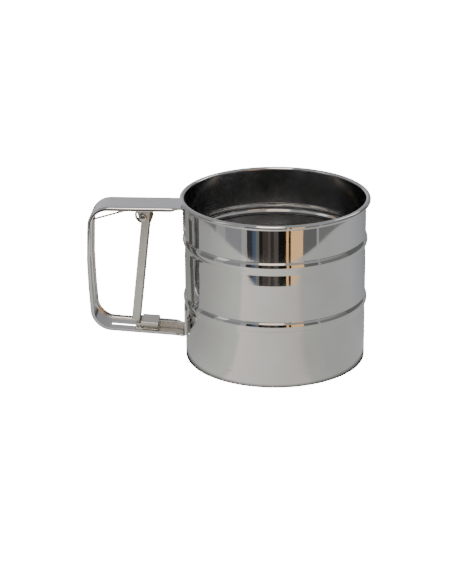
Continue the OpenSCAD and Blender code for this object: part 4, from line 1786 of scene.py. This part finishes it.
    def floor(self) -> None:
        """A plain pale floor that only the eye and soft light meet."""
        s = self.floor_reach
        floor = self.plane("floor", ((-s, -s, 0), (s, -s, 0), (s, s, 0), (-s, s, 0)))
        floor.data.transform(Matrix.Translation((0, 0, -self.floor_drop)))
        floor.visible_glossy = False
        material = bpy.data.materials.new("pale_floor")
        material.use_nodes = True
        shader = material.node_tree.nodes["Principled BSDF"]
        shader.inputs["Base Color"].default_value = (0.9, 0.9, 0.9, 1)
        shader.inputs["Roughness"].default_value = 0.9
        shader.inputs["Specular IOR Level"].default_value = 0.1
        shader.inputs["Emission Color"].default_value = (1, 1, 1, 1)
        shader.inputs["Emission Strength"].default_value = self.white * self.floor_share
        graph = Graph(material.node_tree)
        below = graph.node("ShaderNodeNewGeometry").outputs["Backfacing"]
        clear = graph.node("ShaderNodeBsdfTransparent")
        sided = graph.node("ShaderNodeMixShader", {0: below, 1: shader.outputs[0], 2: clear.outputs[0]})
        graph.tree.links.new(sided.outputs[0], material.node_tree.nodes["Material Output"].inputs[0])
        floor.data.materials.append(material)

    def table(self) -> None:
        """The grey table top that the wall mirrors, with a front edge and a shade under the cup."""
        half, front = self.table_size
        level = -self.table_drop
        edge = [(half * math.cos(a), -front * math.sin(a), level)
                for a in (math.radians(v) for v in between(0, 180, self.table_steps))]
        edge += [(-half, self.table_back, level), (half, self.table_back, level)]
        table = self.plane("mirrored_table", edge)
        table.visible_camera = table.visible_diffuse = table.visible_shadow = False
        table.visible_transmission = table.visible_volume_scatter = False
        material = bpy.data.materials.new("grey_table")
        material.use_nodes = True
        graph = Graph(material.node_tree)
        material.node_tree.nodes.clear()
        place = graph.node("ShaderNodeTexCoord").outputs["Object"]
        x, y, _ = graph.node("ShaderNodeSeparateXYZ", {0: place}).outputs
        ramp = graph.node("ShaderNodeValToRGB", {0: self._bearing(graph, x, y)})
        self._fill_ramp(ramp.color_ramp, self.table_tones)
        far = graph.node("ShaderNodeVectorMath", {0: place}, operation="LENGTH").outputs["Value"]
        off_ring = graph.math("ABSOLUTE", graph.math("SUBTRACT", far, self.shade_radius))
        dark, clear = self.shade_width
        lit = graph.node("ShaderNodeMapRange", {0: off_ring, 1: dark, 2: clear, 3: self.shade_depth, 4: 1.0})
        glow = graph.node("ShaderNodeEmission", {0: ramp.outputs[0], 1: lit.outputs[0]})
        graph.node("ShaderNodeOutputMaterial", {0: glow.outputs[0]})
        table.data.materials.append(material)

    def lamp(self, name: str, place: Sequence[float], size: Point2, power: float,
             colour: Colour = (1.0, 1.0, 1.0)) -> None:
        """A soft box that faces the object.

        Args:
            name: the lamp's name.
            place: its middle, in metres.
            size: its width and height, in metres.
            power: its strength, in watts.
            colour: its light's tint.
        """
        data = bpy.data.lights.new(name, "AREA")
        data.color = colour
        data.shape = "RECTANGLE"
        data.size, data.size_y = size
        data.energy = power
        lamp = bpy.data.objects.new(name, data)
        bpy.context.scene.collection.objects.link(lamp)
        lamp.location = place
        lamp.rotation_euler = (self.target - Vector(place)).to_track_quat("-Z", "Y").to_euler()

    def build(self) -> None:
        """Sets up the whole studio."""
        self.camera()
        self.world()
        self.floor()
        self.table()
        self.lamp("soft_box_top", (-0.06, -0.40, 0.95), (0.34, 0.50), 2.6, (1.0, 0.93, 0.84))
        self.lamp("soft_box_front", (-0.02, -0.85, 0.62), (0.50, 0.30), 0.7, (1.0, 0.80, 0.60))
        self.lamp("soft_box_left", (-1.0, -0.45, 0.7), (0.30, 0.7), 0.4)
        self.lamp("soft_box_right", (0.75, 0.40, 0.70), (0.30, 0.6), 0.8)


def main() -> None:
    """Builds the sifter and its studio."""
    logging.basicConfig(level=logging.INFO, format="%(name)s: %(message)s")
    shop = Workshop()
    Studio().build()
    Cup().build(shop)
    Screen().build(shop)
    make_spider().build(shop)
    make_agitator().build(shop)
    for turned in TURNED_PARTS:
        turned.build(shop)
    for folded in FOLDED_PARTS:
        folded.build(shop)
    Handle().build(shop)
    ReturnSpring().build(shop)
    SpotWelds().build(shop)


if __name__ == "__main__":
    main()
